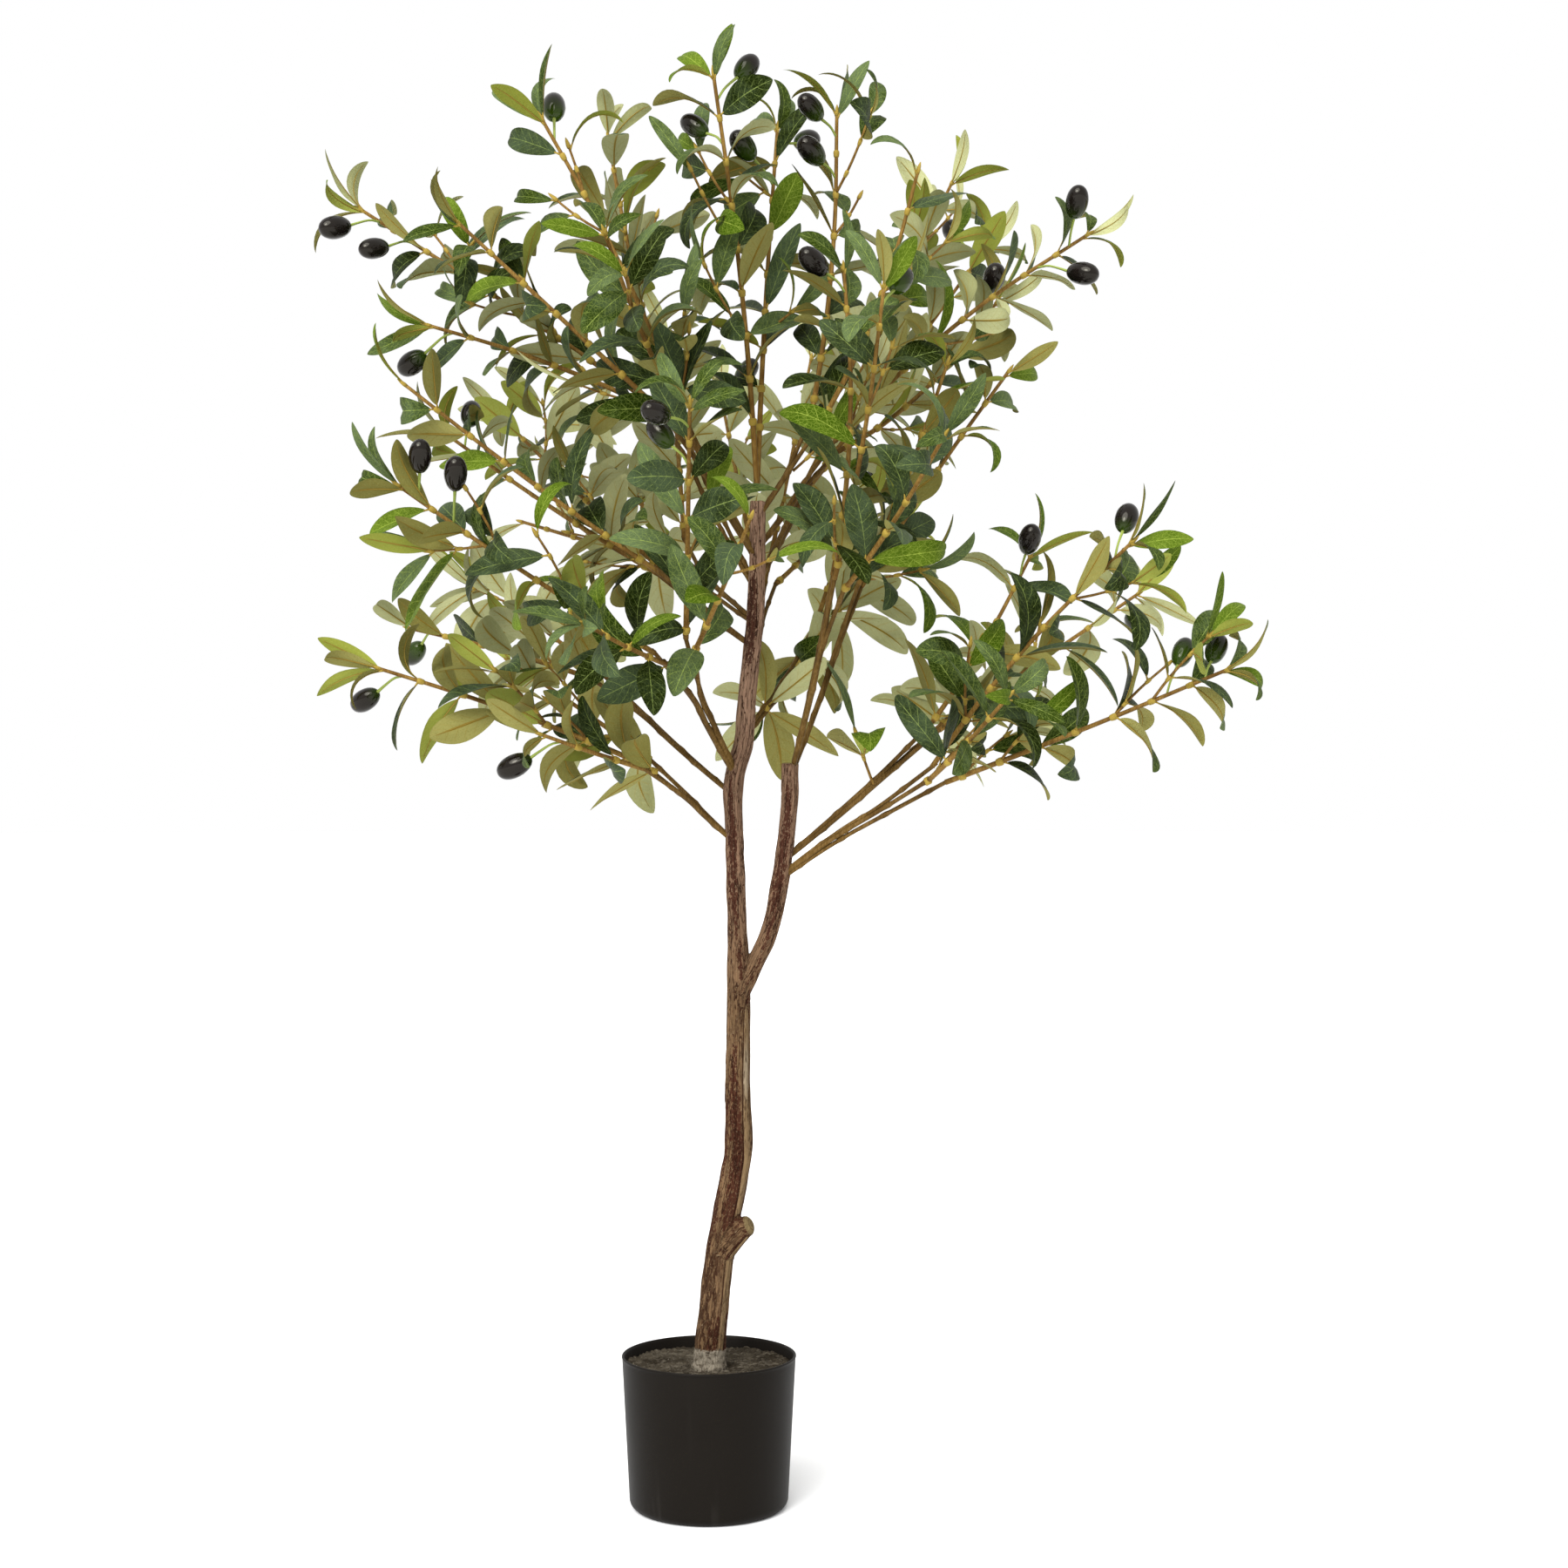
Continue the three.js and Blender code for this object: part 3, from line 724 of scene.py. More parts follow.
def in_own_room(points, bough):
    """Whether the points are off the limbs, and nearer to this bough's sprays than to others."""
    if distances(points, limb_starts, limb_ends).min() < BOUGH_ROOT_RADIUS + LIMB_CLEARANCE:
        return False
    if distances(points, trunk_starts, trunk_ends).min() < TRUNK_CLEARANCE:
        return False
    away = distances(points, stem_starts, stem_ends)
    mine = stem_owners == bough.index
    strays = away[:, ~mine].min(1) < away[:, mine].min(1) - bough.room_shared
    return not strays.any()


def hides_an_opening(points):
    """Whether any of the points would cover a gap or the bare trunk, seen from the camera."""
    reach = (points[:, 1] - CAMERA_PLACE[1]) / -CAMERA_PLACE[1]
    sideways = CAMERA_PLACE[0] + (points[:, 0] - CAMERA_PLACE[0]) / reach
    height = CAMERA_PLACE[2] + (points[:, 2] - CAMERA_PLACE[2]) / reach
    stations = np.array(TRUNK_STATIONS)
    off_trunk = np.abs(sideways - np.interp(height, stations[:, 0], stations[:, 1]))
    in_front = (points[:, 1] < 0) & (off_trunk < BARE_TRUNK_HALF)
    if (in_front & (height > BARE_TRUNK[0]) & (height < BARE_TRUNK[1])).any():
        return True
    return any(
        np.hypot(sideways - gap_x, height - gap_height).min() < radius
        for gap_x, gap_height, radius in SKY_GAPS
    )


# %% [markdown]
# A leaf
#
# The real leaf is fabric, printed dark on top and khaki below, stiffened along its midrib so that
# it bends in a smooth curve and often curls hard near its tip. It is modelled as a narrow grid:
# rows from root to tip follow the bent midrib, and across each row the two halves rise a little
# from the fold. Top and underside are two sheets that meet at the edge, so each has its own
# plain colour from any side, and the midrib stands out of the underside as a thin ridge. The
# tests for room use a much coarser copy of the same leaf.

# %% The sizes of a leaf
LEAF_LENGTH = 68
LEAF_WIDTH = 26
LEAF_THICKNESS = 0.5
LEAF_ROWS = (0, 0.03, 0.07, 0.12, 0.18, 0.26, 0.35, 0.44, 0.53, 0.62, 0.7, 0.78, 0.85, 0.91, 0.95,
             0.98, 1)
LEAF_ACROSS = (-1, -0.5, 0, 0.5, 1)
LEAF_FULLEST = 1.08
LEAF_FULLNESS = 0.65
LEAF_END_WIDTH = 0.35

# Each of these is dealt out leaf by leaf between two limits: shares of the size, then degrees
LENGTH_LIMITS = (0.84, 1.14)
WIDTH_LIMITS = (0.8, 1.12)
HARD_CURL_SHARE = 0.25
HARD_BEND = (70, 125)
SOFT_BEND = (5, 70)
MOST_TWIST = 34
FOLD_LIMITS = (2, 20)

# With a power of 1.5 the bend falls mostly near the tip. The waves along the two edges are out of
# step with each other
LATE_BEND = 1.5
HALF_CROWN = 0.09
WAVE_LIMITS = (0, 0.14)
WAVE_TURNS = 7
WAVE_PHASES = 6

# The coarse copy has four rows of three points: the first row is the root, and the midrib's point
# in the second is near the leaf's middle
TEST_ROWS = (0, 0.36, 0.72, 1)
TEST_ACROSS = (-1.0, 0, 1)
TEST_ROOT_POINTS = 3
TEST_MIDDLE = 4

# %% The form of a leaf


class Leaf:
    """One leaf: where its root is, which way it goes, which way its top faces, and its curves."""

    def __init__(self, root, along, face, size, slimness, kind, keys):
        self.root = np.array(root)
        self.along = np.array(along)
        self.face = np.array(face)
        self.across = np.cross(self.along, self.face)
        self.length = LEAF_LENGTH * size * between(LENGTH_LIMITS, *keys, LENGTH_KEY)
        spread = between(WIDTH_LIMITS, *keys, WIDTH_KEY)
        self.width = LEAF_WIDTH * slimness * size ** 0.5 * spread
        self.kind = kind
        bend_limits = HARD_BEND if chance(*keys, CURL_KEY) < HARD_CURL_SHARE else SOFT_BEND
        self.bend = math.radians(between(bend_limits, *keys, BEND_KEY))
        self.twist = math.radians(either_way(MOST_TWIST, *keys, TWIST_KEY))
        self.fold = math.radians(between(FOLD_LIMITS, *keys, FOLD_KEY))
        self.wave = between(WAVE_LIMITS, *keys, WAVE_KEY)
        self.phase = WAVE_PHASES * chance(*keys, PHASE_KEY)

    def spine(self, shares):
        """The midrib's points, and the directions across it and out of the leaf's top."""
        middles = (shares[1:] + shares[:-1]) / 2
        turned = self.bend * middles ** LATE_BEND
        headings = np.outer(np.cos(turned), self.along) - np.outer(np.sin(turned), self.face)
        steps = headings * np.diff(shares)[:, None] * self.length
        points = self.root + np.vstack([np.zeros(3), np.cumsum(steps, axis=0)])
        turned = self.bend * shares ** LATE_BEND
        faces = np.outer(np.cos(turned), self.face) + np.outer(np.sin(turned), self.along)
        rolls = self.twist * shares
        across = np.outer(np.cos(rolls), self.across) + faces * np.sin(rolls)[:, None]
        faces = faces * np.cos(rolls)[:, None] - np.outer(np.sin(rolls), self.across)
        return points, across, faces

    def half_widths(self, shares):
        """Half the leaf's width at shares of its length, which never comes down to nothing."""
        outline = np.sin(np.pi * shares ** LEAF_FULLEST).clip(0) ** LEAF_FULLNESS
        return np.maximum(outline * self.width / 2, LEAF_END_WIDTH)

    def sheet(self, shares, offsets, raised):
        """Rows of points across the leaf, raised by half its thickness towards one side."""
        points, across, faces = self.spine(shares)
        halves = self.half_widths(shares)[:, None]
        out = np.abs(offsets)[None, :]
        lift = out * halves * math.sin(self.fold) + out * (1 - out) * 4 * HALF_CROWN * halves
        swing = np.sin(WAVE_TURNS * shares[:, None] + self.phase + np.sign(offsets)[None, :])
        lift = lift + swing * self.wave * halves * out ** 2
        lift = lift + raised * (1 - out ** 2) * np.sin(np.pi * shares)[:, None].clip(0)
        sideways = offsets[None, :] * halves * math.cos(self.fold)
        rows = points[:, None] + across[:, None] * sideways[..., None]
        return rows + faces[:, None] * lift[..., None]

    def test_shape(self):
        """A coarse copy of the leaf for the tests: its points, edges and triangles."""
        rows = self.sheet(np.array(TEST_ROWS), np.array(TEST_ACROSS), 0)
        edge_starts = rows[:-1].reshape(-1, 3)
        edge_ends = rows[1:].reshape(-1, 3)
        triangles = []
        for row, after in zip(rows, rows[1:]):
            for i in range(len(TEST_ACROSS) - 1):
                triangles.append((row[i], row[i + 1], after[i]))
                triangles.append((row[i + 1], after[i + 1], after[i]))
        return rows.reshape(-1, 3), edge_starts, edge_ends, np.array(triangles)


sample_leaf = Leaf((0, 0, 0), (1, 0, 0), (0, 0, 1), 1, 1, "dark", (1,))
print("a leaf is", round(sample_leaf.length), "by", round(sample_leaf.width), "mm, and its coarse",
      "copy has", len(sample_leaf.test_shape()[3]), "triangles")

# %% [markdown]
# A spray
#
# A real spray is a wired plastic stem with a moulded collar every three or four centimetres. From
# each collar grow two leaves, opposite each other and crosswise to the pair below, and here and
# there a short side twig beside them. The tip holds a tuft of small leaves, often the fresh green
# ones. The tip is grown first, so that nothing further down takes its room.
#
# The leaves turn their tops to the outside of the crown and a little towards their twig's tip.
# Two masses low on the left of the real tree show the viewer their undersides, so there the tops
# turn away from the viewer instead.

# %% How leaves stand on a stem
BARE_PART = 0.16
NODE_SPACING = 35
PAIR_STEP = 1.5
FACE_TURN = 45
LEAF_TRIES = (1, 0.8, 0.6, 0.45)
LEAF_SWING = 14
LEAF_ROLL = 50
LEAF_DROOP = 0.3
CROWN_AXIS = (40, 60)
OUTWARD_FACE = 0.6
TURNED_AWAY = ("left_low", "left_low_back")
PAIR_OPENNESS = (36, 68)
STALK_LENGTH = 3.2
STALK_OVERLAP = 2
STEM_ROOT_RADIUS = 2.5
STEM_TIP_RADIUS = 1.5
TIP_PAIRS = 2
TIP_PAIR_SIZE = 0.86

# %% How tufts, side twigs and olives stand on a stem
TUFT_OPENNESS = (14, 48)
TUFT_TURNS = (0, 180, 90, 270)
TUFT_SLIMNESS = 0.66
TUFT_BELOW_TIP = 2
SPRAY_TUFT = 4
SPRAY_TUFT_SIZE = 0.8
TWIG_TUFT = 3
TWIG_TUFT_SIZE = 0.92
TWIG_RADIUS = 1.15
TWIG_LENGTH = (46, 82)
TWIG_STEPS = 3
TWIG_STEP_TURN = 0.18
TWIG_SHARE = 0.26
TWIG_OPENNESS = 44
TWIG_SPACING = 29
TWIG_TIP_SPACING = 0.8
TWIG_LEAF_SIZE = 0.86
OLIVE_STALK = 23
OLIVE_STALK_LIMITS = (0.8, 1.5)
OLIVE_LENGTH = 31
OLIVE_WIDTH = 19.5
OLIVE_LIMITS = (0.92, 1.04)
OLIVE_LEAN = 0.6
OLIVE_TIP_SPACING = 0.6

# %% Which kind a leaf is
YOUNG_AT_TIP = 0.3
YOUNG_BELOW = 0.06
MID_BELOW = 0.34


def tip_kind(*keys):
    return "young" if chance(*keys) < YOUNG_AT_TIP else "mid"


def leaf_kind(*keys):
    dealt = chance(*keys)
    if dealt < YOUNG_BELOW:
        return "young"
    return "mid" if dealt < MID_BELOW else "dark"


# %% Places and directions on a stem


def stem_radius(share):
    """A spray's stem thins evenly from its root to its tip."""
    return STEM_ROOT_RADIUS + (STEM_TIP_RADIUS - STEM_ROOT_RADIUS) * share


def node_at(line, distance):
    """A place on a stem, with its direction and one direction out of it."""
    along = direction_at(line, distance)
    row = round((len(line) - 1) * distance / line_length(line))
    side = across_line(line)[row][0]
    side = (side - along * side.dot(along)).normalized()
    return point_at(line, distance), along, side


def turned_about(vector, axis, degrees):
    return Quaternion(axis, math.radians(degrees)) @ vector


def out_of_crown(point, bough):
    """The level direction out of the crown, or away from the viewer for a mass turned away."""
    if bough.name in TURNED_AWAY:
        return Vector((0, 1, 0))
    return Vector((point.x - CROWN_AXIS[0], point.y - CROWN_AXIS[1], 0)).normalized()


print("a stem half way up is", 2 * stem_radius(0.5), "mm thick")

# %% Growing rules


class Crown:
    """Everything that has grown so far. Each twig is a line, and whether it is a side twig."""

    def __init__(self):
        self.leaves = []
        self.middles = []
        self.shapes = []
        self.stalks = []
        self.olives = []
        self.twigs = [(line, False) for bough in boughs for line, _ in bough.sprays]
        self.collars = []
        self.tried = 0

    def has_room(self, leaf, bough):
        points, edge_starts, edge_ends, triangles = leaf.test_shape()
        middle = points[TEST_MIDDLE]
        beyond_root = points[TEST_ROOT_POINTS:]
        if hides_an_opening(beyond_root) or not in_own_room(beyond_root, bough):
            return False
        if self.olives:
            seats = np.array([seat for _, seat, _, _ in self.olives])
            ends = np.array([end for _, _, end, _ in self.olives])
            if distances(points, seats, ends).min() < OLIVE_CLEARANCE:
                return False
        twig_starts, twig_ends = stretches([line for line, _ in self.twigs])
        near = np.linalg.norm((twig_starts + twig_ends) / 2 - middle, axis=1) < NEAR_TWIGS
        if goes_through(twig_starts[near], twig_ends[near], triangles):
            return False
        if not self.leaves:
            return True
        near = np.flatnonzero(np.linalg.norm(self.middles - middle, axis=1) < NEAR_LEAVES)
        for i in near:
            _, other_starts, other_ends, other_triangles = self.shapes[i]
            if goes_through(edge_starts, edge_ends, other_triangles):
                return False
            if goes_through(other_starts, other_ends, triangles):
                return False
        return True

    def keep(self, leaf):
        self.leaves.append(leaf)
        self.shapes.append(leaf.test_shape())
        self.middles = np.array([points[TEST_MIDDLE] for points, *_ in self.shapes])

    def try_leaf(self, node, turn, openness, size, slimness, kind, bough, keys, radius,
                 roll=LEAF_ROLL, outward_face=OUTWARD_FACE):
        """Opens a leaf out from its twig, and closer to it each time that it finds no room."""
        self.tried += 1
        point, along, side = node
        outward = turned_about(side, along, turn + either_way(LEAF_SWING, *keys, SWING_KEY))
        to_light = along + out_of_crown(point, bough) * outward_face
        for share in LEAF_TRIES:
            open_angle = math.radians(openness * share)
            ahead = along * math.cos(open_angle) + outward * math.sin(open_angle)
            ahead.z -= between((0, LEAF_DROOP), *keys, DROOP_KEY)
            ahead.normalize()
            face = (to_light - ahead * to_light.dot(ahead)).normalized()
            face = turned_about(face, ahead, either_way(roll, *keys, ROLL_KEY))
            root = point + ahead * (radius + STALK_LENGTH)
            leaf = Leaf(root, ahead, face, size, slimness, kind, keys)
            if self.has_room(leaf, bough):
                self.keep(leaf)
                self.stalks.append((point + ahead * radius * 0.5, root + ahead * STALK_OVERLAP))
                return

    def add_pair(self, line, distance, turn, size, bough, keys, radius):
        """Two leaves, opposite each other."""
        for i, half in enumerate((0, 180)):
            node = node_at(line, distance + PAIR_STEP * i)
            openness = between(PAIR_OPENNESS, *keys, i, OPENNESS_KEY)
            kind = leaf_kind(*keys, i, KIND_KEY)
            leaf_keys = (*keys, i)
            self.try_leaf(node, turn + half, openness, size, 1, kind, bough, leaf_keys, radius)

    def add_tuft(self, line, size, count, bough, keys, radius):
        """Small slim leaves round a tip, most of them closed up along it."""
        reach = line_length(line)
        for i, turn in enumerate(TUFT_TURNS[:count]):
            node = node_at(line, reach - TUFT_BELOW_TIP - PAIR_STEP * i)
            openness = between(TUFT_OPENNESS, *keys, i, TUFT_OPENNESS_KEY)
            kind = tip_kind(*keys, i, KIND_KEY)
            leaf_keys = (*keys, i, TUFT_LEAF_KEY)
            turn += FACE_TURN
            self.try_leaf(node, turn, openness, size, TUFT_SLIMNESS, kind, bough, leaf_keys,
                          radius)

    def add_olive(self, line, distance, bough, keys):
        """An olive on whichever side of the stem has room for it."""
        point, along, side = node_at(line, distance)
        first_turn = FACE_TURN + 90 * math.floor(4 * chance(*keys, OLIVE_TURN_KEY))
        for swing in range(0, 360, 90):
            turn = first_turn + swing
            ahead = (turned_about(side, along, turn) + along * OLIVE_LEAN).normalized()
            stalk = OLIVE_STALK * between(OLIVE_STALK_LIMITS, *keys, OLIVE_STALK_KEY)
            seat = point + ahead * stalk
            end = seat + ahead * OLIVE_LENGTH * between(OLIVE_LIMITS, *keys, OLIVE_LENGTH_KEY)
            if in_own_room([seat, seat.lerp(end, 0.5), end], bough):
                self.olives.append((point, seat, end, keys))
                return

    def add_twig(self, line, distance, turn, bough, keys):
        """A short side twig, which leaves its stem and bends along with it."""
        point, along, side = node_at(line, distance)
        outward = turned_about(side, along, turn)
        open_angle = math.radians(TWIG_OPENNESS)
        ahead = along * math.cos(open_angle) + outward * math.sin(open_angle)
        length = between(TWIG_LENGTH, *keys, TWIG_LENGTH_KEY)
        twig = [point]
        for _ in range(TWIG_STEPS):
            ahead = (ahead + along * TWIG_STEP_TURN).normalized()
            twig.append(twig[-1] + ahead * length / TWIG_STEPS)
        if in_own_room(twig[2:], bough):
            self.dress_twig(twig, TWIG_LEAF_SIZE, bough, keys)

    def dress_twig(self, twig, size, bough, keys):
        """A tuft at the twig's tip, and a pair of leaves every so often below it."""
        length = line_length(twig)
        self.twigs.append((twig, True))
        tuft_keys = (*keys, TWIG_TUFT_KEY)
        self.add_tuft(twig, size * TWIG_TUFT_SIZE, TWIG_TUFT, bough, tuft_keys, TWIG_RADIUS)
        for pair in range(math.floor(length / TWIG_SPACING)):
            reach = length - TWIG_SPACING * (pair + TWIG_TIP_SPACING)
            turn = FACE_TURN + 90 * pair
            self.add_pair(twig, reach, turn, size, bough, (*keys, TWIG_PAIR_KEY, pair), TWIG_RADIUS)
            self.collars.append((twig, reach, TWIG_RADIUS))

    def grow_spray(self, bough, number, line, olives):
        """Olives and the tuft first, then pairs and side twigs from the tip down to the root."""
        length = line_length(line)
        nodes = round(length * (1 - BARE_PART) / NODE_SPACING)
        first = length * BARE_PART
        spacing = (length - first) / nodes
        for i in range(olives):
            distance = length - spacing * (i + OLIVE_TIP_SPACING)
            self.add_olive(line, distance, bough, (bough.index, number, i))
        tuft_keys = (bough.index, number, nodes)
        self.add_tuft(line, SPRAY_TUFT_SIZE, SPRAY_TUFT, bough, tuft_keys, STEM_TIP_RADIUS)
        for i in reversed(range(nodes)):
            keys = (bough.index, number, i)
            distance = first + i * spacing
            radius = stem_radius(distance / length)
            size = 1 if i < nodes - TIP_PAIRS else TIP_PAIR_SIZE
            turn = FACE_TURN + 90 * (i % 2)
            self.collars.append((line, distance, radius))
            if i < nodes - 1 and chance(*keys, TWIG_KEY) < TWIG_SHARE:
                half = 180 * round(chance(*keys, TWIG_HALF_KEY))
                self.add_twig(line, distance, turn + half, bough, (*keys, SIDE_TWIG_KEY))
            self.add_pair(line, distance, turn, size, bough, keys, radius)


# %% Exceptions to the rule
ODD_TWIG_STEPS = 3
ODD_TWIG_BEND = 6
STAR_LEAVES = 6
STAR_STEP = 5
STAR_OPENNESS = (66, 84)
STAR_SIZE = 1.12
STAR_ROLL = 18

# An exception may reach this much nearer to the sprays of another mass than to its own
ODD_ROOM = 60


def bough_line(name, line_number):
    """A bough with one of its lines: 0 is its own, and the others are its sprays'."""
    bough = next(bough for bough in boughs if bough.name == name)
    lines = [bough.whole, *[line for line, _ in bough.sprays]]
    return bough, lines[line_number]


def grow_odd_twig(number, name, line_number, share, turn, rise, length, size):
    """A twig that goes its own way, where the real tree has leaves and the rule grows none."""
    bough, line = bough_line(name, line_number)
    bough.room_shared = ODD_ROOM
    start = point_at(line, line_length(line) * share)
    twig = bent_line(start, turn, rise, length, ODD_TWIG_BEND, ODD_TWIG_STEPS)
    crown.dress_twig(twig, size, bough, (bough.index, number, ODD_TWIG_KEY))
    bough.room_shared = ROOM_SHARED


def grow_stars(name, line_number, shares, first_turn):
    """Leaves that open wide from almost one place, low down where a bough is otherwise bare."""
    bough, line = bough_line(name, line_number)
    bough.room_shared = ODD_ROOM
    for number, share in enumerate(shares):
        for i in range(STAR_LEAVES):
            keys = (bough.index, line_number, number, i, STAR_KEY)
            node = node_at(line, line_length(line) * share + STAR_STEP * (i % 2))
            turn = first_turn + 360 * i / STAR_LEAVES
            openness = between(STAR_OPENNESS, *keys, OPENNESS_KEY)
            crown.try_leaf(node, turn, openness, STAR_SIZE, 1, "mid", bough, keys,
                           BOUGH_TIP_RADIUS, STAR_ROLL, 0)
        crown.collars.append((line, line_length(line) * share, BOUGH_TIP_RADIUS))
    bough.room_shared = ROOM_SHARED


# %% Grow the crown
crown = Crown()
for row in STARS:
    grow_stars(*row)
for bough in boughs:
    for number, (line, olives) in enumerate(bough.sprays):
        crown.grow_spray(bough, number, line, olives)
for number, row in enumerate(ODD_TWIGS):
    grow_odd_twig(number, *row)
print("leaves", len(crown.leaves), "of", crown.tried, "tried", "twigs", len(crown.twigs),
      "olives", len(crown.olives))

# %% [markdown]
# Finishes for the leaves
#
# The print on a real leaf is a pale midrib and a net of pale veins on dark green. The leaf's own
# flat map gives a place along and across it, and the veins are lines on that map, broken by
# noise as the print is. The greens are dealt out leaf by leaf as three plain kinds, each in a
# piece of its own, and every leaf is a little lighter or darker than the next. The underside is
# bare khaki fabric: the midrib shows through it in ochre, the side veins only faintly, and the
# weave gives it a fine speckle of its own lighter and darker shades.
#
# On the flat map the midrib lies at the middle of the way across. A side vein is one tooth of a
# saw that runs along the leaf, slanted by how far out it is, and set off on one side of the
# midrib so that the veins of the two halves don't meet.

# %% The print on top
TOP_VEINS = 8
TOP_VEIN_SLANT = 1.7
VEIN_OFFSET = 0.8
NET_OF_VEINS = (8.5, 21, 1)
WEAVE_SCALE = 1500


def flat_map(finish):
    """How far across and along a leaf a point is, and how far out from its midrib, 0 to 1."""
    flat = finish.node("ShaderNodeUVMap", {"uv_map": "flat"})
    across, along, _ = finish.parts_of(flat)
    return flat, across, along, abs(across - 0.5) * 2


def saw(across, along, out, veins, slant):
    """Teeth along the leaf, one for each side vein, that rise from 0 to 1."""
    return (along * veins - out * slant + (across - 0.5) * VEIN_OFFSET).wrapped()


def leaf_top_finish(name, deep, light, vein, net_depth, roughness):
    finish = Finish(name, roughness, Specular_IOR_Level=0.035, Specular_Tint=(1, 1, 0.45))
    flat, across, along, out = flat_map(finish)
    breaks = finish.cloud(finish.place(), 300, 2).smooth(0.34, 0.58)
    midrib = out.smooth(0.045, 0.02) * (breaks * 0.5 + 0.35)
    tooth = saw(across, along, out, TOP_VEINS, TOP_VEIN_SLANT)
    side_veins = tooth.smooth(0.9, 0.94) * tooth.smooth(0.99, 0.95)
    net = finish.cells(finish.stretched(flat, NET_OF_VEINS), 1).smooth(0.08, 0.03)
    veins = midrib.larger(side_veins * breaks * 0.9).larger(net * net_depth)
    blotches = finish.cloud(finish.place(), 60, 3).smooth(0.3, 0.7)
    # Each leaf's tone is random between deep and light; a blue-grey light end is painted sheen
    shade = (blotches * 0.35 + finish.each_leaf() * 0.65).smooth(0.1, 1)
    finish.wear(Base_Color=finish.mix(veins * 0.8, finish.mix(shade, deep, light), vein))
    weave = finish.cloud(finish.place(), WEAVE_SCALE, 2)
    finish.raised(weave * 0.4 - veins * 0.6, 0.35, 0.0006)
    return finish.material


# Deep and light green, veins, how much of the net shows, roughness
leaf_tops = {
    # The light ends of the dark and green leaves have a blue-grey cast that is painted sheen
    "dark": leaf_top_finish("dark leaf", (0.0055, 0.0105, 0.0003), (0.042, 0.062, 0.03),
                            (0.2, 0.26, 0.07), 0.15, 0.46),
    "mid": leaf_top_finish("green leaf", (0.013, 0.026, 0.0008), (0.078, 0.11, 0.046),
                           (0.25, 0.32, 0.07), 0.26, 0.48),
    "young": leaf_top_finish("young leaf", (0.034, 0.065, 0.002), (0.083, 0.13, 0.01),
                             (0.3, 0.38, 0.06), 0.3, 0.48),
}
print("greens", list(leaf_tops))

# %% The bare underside
UNDERSIDE_VEINS = 7
UNDERSIDE_VEIN_SLANT = 1.5
UNDERSIDE_STREAKS = (16, 3, 1)
UNDERSIDE_WEAVE_SCALE = 1700


def leaf_underside_finish(name, deep, light, vein):
    finish = Finish(name, 0.62, Specular_IOR_Level=0.03)
    flat, across, along, out = flat_map(finish)
    streaks = finish.cloud(finish.stretched(flat, UNDERSIDE_STREAKS), 1, 2)
    shade = streaks * 0.4 + finish.each_leaf() * 0.6
    midrib = out.smooth(0.12, 0.04) * along.smooth(0.95, 0.6)
    tooth = saw(across, along, out, UNDERSIDE_VEINS, UNDERSIDE_VEIN_SLANT)
    side_veins = tooth.smooth(0.8, 0.92) * tooth.smooth(1.0, 0.93) * out.smooth(1, 0.5)
    veined = finish.mix(midrib.larger(side_veins * 0.35), finish.mix(shade, deep, light), vein)
    speckle = finish.cloud(finish.place(), 700, 3, 0.7)
    spotted = finish.mix(speckle.smooth(0.56, 0.64) * 0.4, veined, deep)
    finish.wear(Base_Color=finish.mix(speckle.smooth(0.42, 0.34) * 0.4, spotted, light))
    weave = finish.cloud(finish.place(), UNDERSIDE_WEAVE_SCALE, 2)
    finish.raised(weave, 0.35, 0.0005)
    return finish.material


# Deep and light shade, veins
leaf_undersides = {
    "khaki": leaf_underside_finish("khaki underside", (0.13, 0.118, 0.022), (0.31, 0.29, 0.095),
                                   (0.22, 0.145, 0.022)),
    # The pale underside is brighter than the khaki: painted backlight shining through the fabric
    "pale": leaf_underside_finish("backlit pale underside", (0.27, 0.28, 0.11), (0.48, 0.49, 0.26),
                                  (0.34, 0.25, 0.05)),
    "fresh": leaf_underside_finish("fresh underside", (0.17, 0.19, 0.02), (0.3, 0.33, 0.07),
                                   (0.26, 0.2, 0.03)),
}
print("undersides", list(leaf_undersides))

# %% Leaves
# Between these depths more and more undersides are pale, painted backlight on the far leaves
BACKLIT_FROM = -60
BACKLIT_TO = 160
RIB_WIDTH = 0.75
RIB_HEIGHT = 0.6
RIB_TAPER = 0.8
RIB_SINK = 0.35
RIB_ROWS = 14


def underside_of(leaf):
    """Leaves far from the viewer stand against the light: more get the pale underside, painted
    backlight.
    """
    if leaf.kind == "young":
        return "fresh"
    depth = (leaf.root[1] - BACKLIT_FROM) / (BACKLIT_TO - BACKLIT_FROM)
    return "pale" if chance(round(leaf.root[0]), round(leaf.root[2])) < depth else "khaki"


def add_leaf_sheet(pile, leaf, raised):
    """The top of a leaf where it is raised, and its underside where raised is below nought."""
    points = leaf.sheet(np.array(LEAF_ROWS), np.array(LEAF_ACROSS), raised)
    flats = [[(0.5 + 0.5 * offset, row) for offset in LEAF_ACROSS] for row in LEAF_ROWS]
    pile.add_grid(list(points), flats, turned_over=raised < 0)


def add_rib(pile, leaf):
    """The midrib under a leaf: a three-sided ridge that is closed all round."""
    shares = np.array(LEAF_ROWS[:RIB_ROWS])
    points, across, faces = leaf.spine(shares)
    taper = (1 - RIB_TAPER * shares / shares[-1])[:, None]
    under = points - faces * LEAF_THICKNESS * RIB_SINK
    left = under - across * RIB_WIDTH * taper
    right = under + across * RIB_WIDTH * taper
    ridge = under - faces * RIB_HEIGHT * taper
    rows = [list(row) for row in zip(right, left, ridge)]
    flats = [[(corner / 3, share) for corner in range(3)] for share in shares]
    pile.add_grid(rows, flats, closed=True, capped=True)


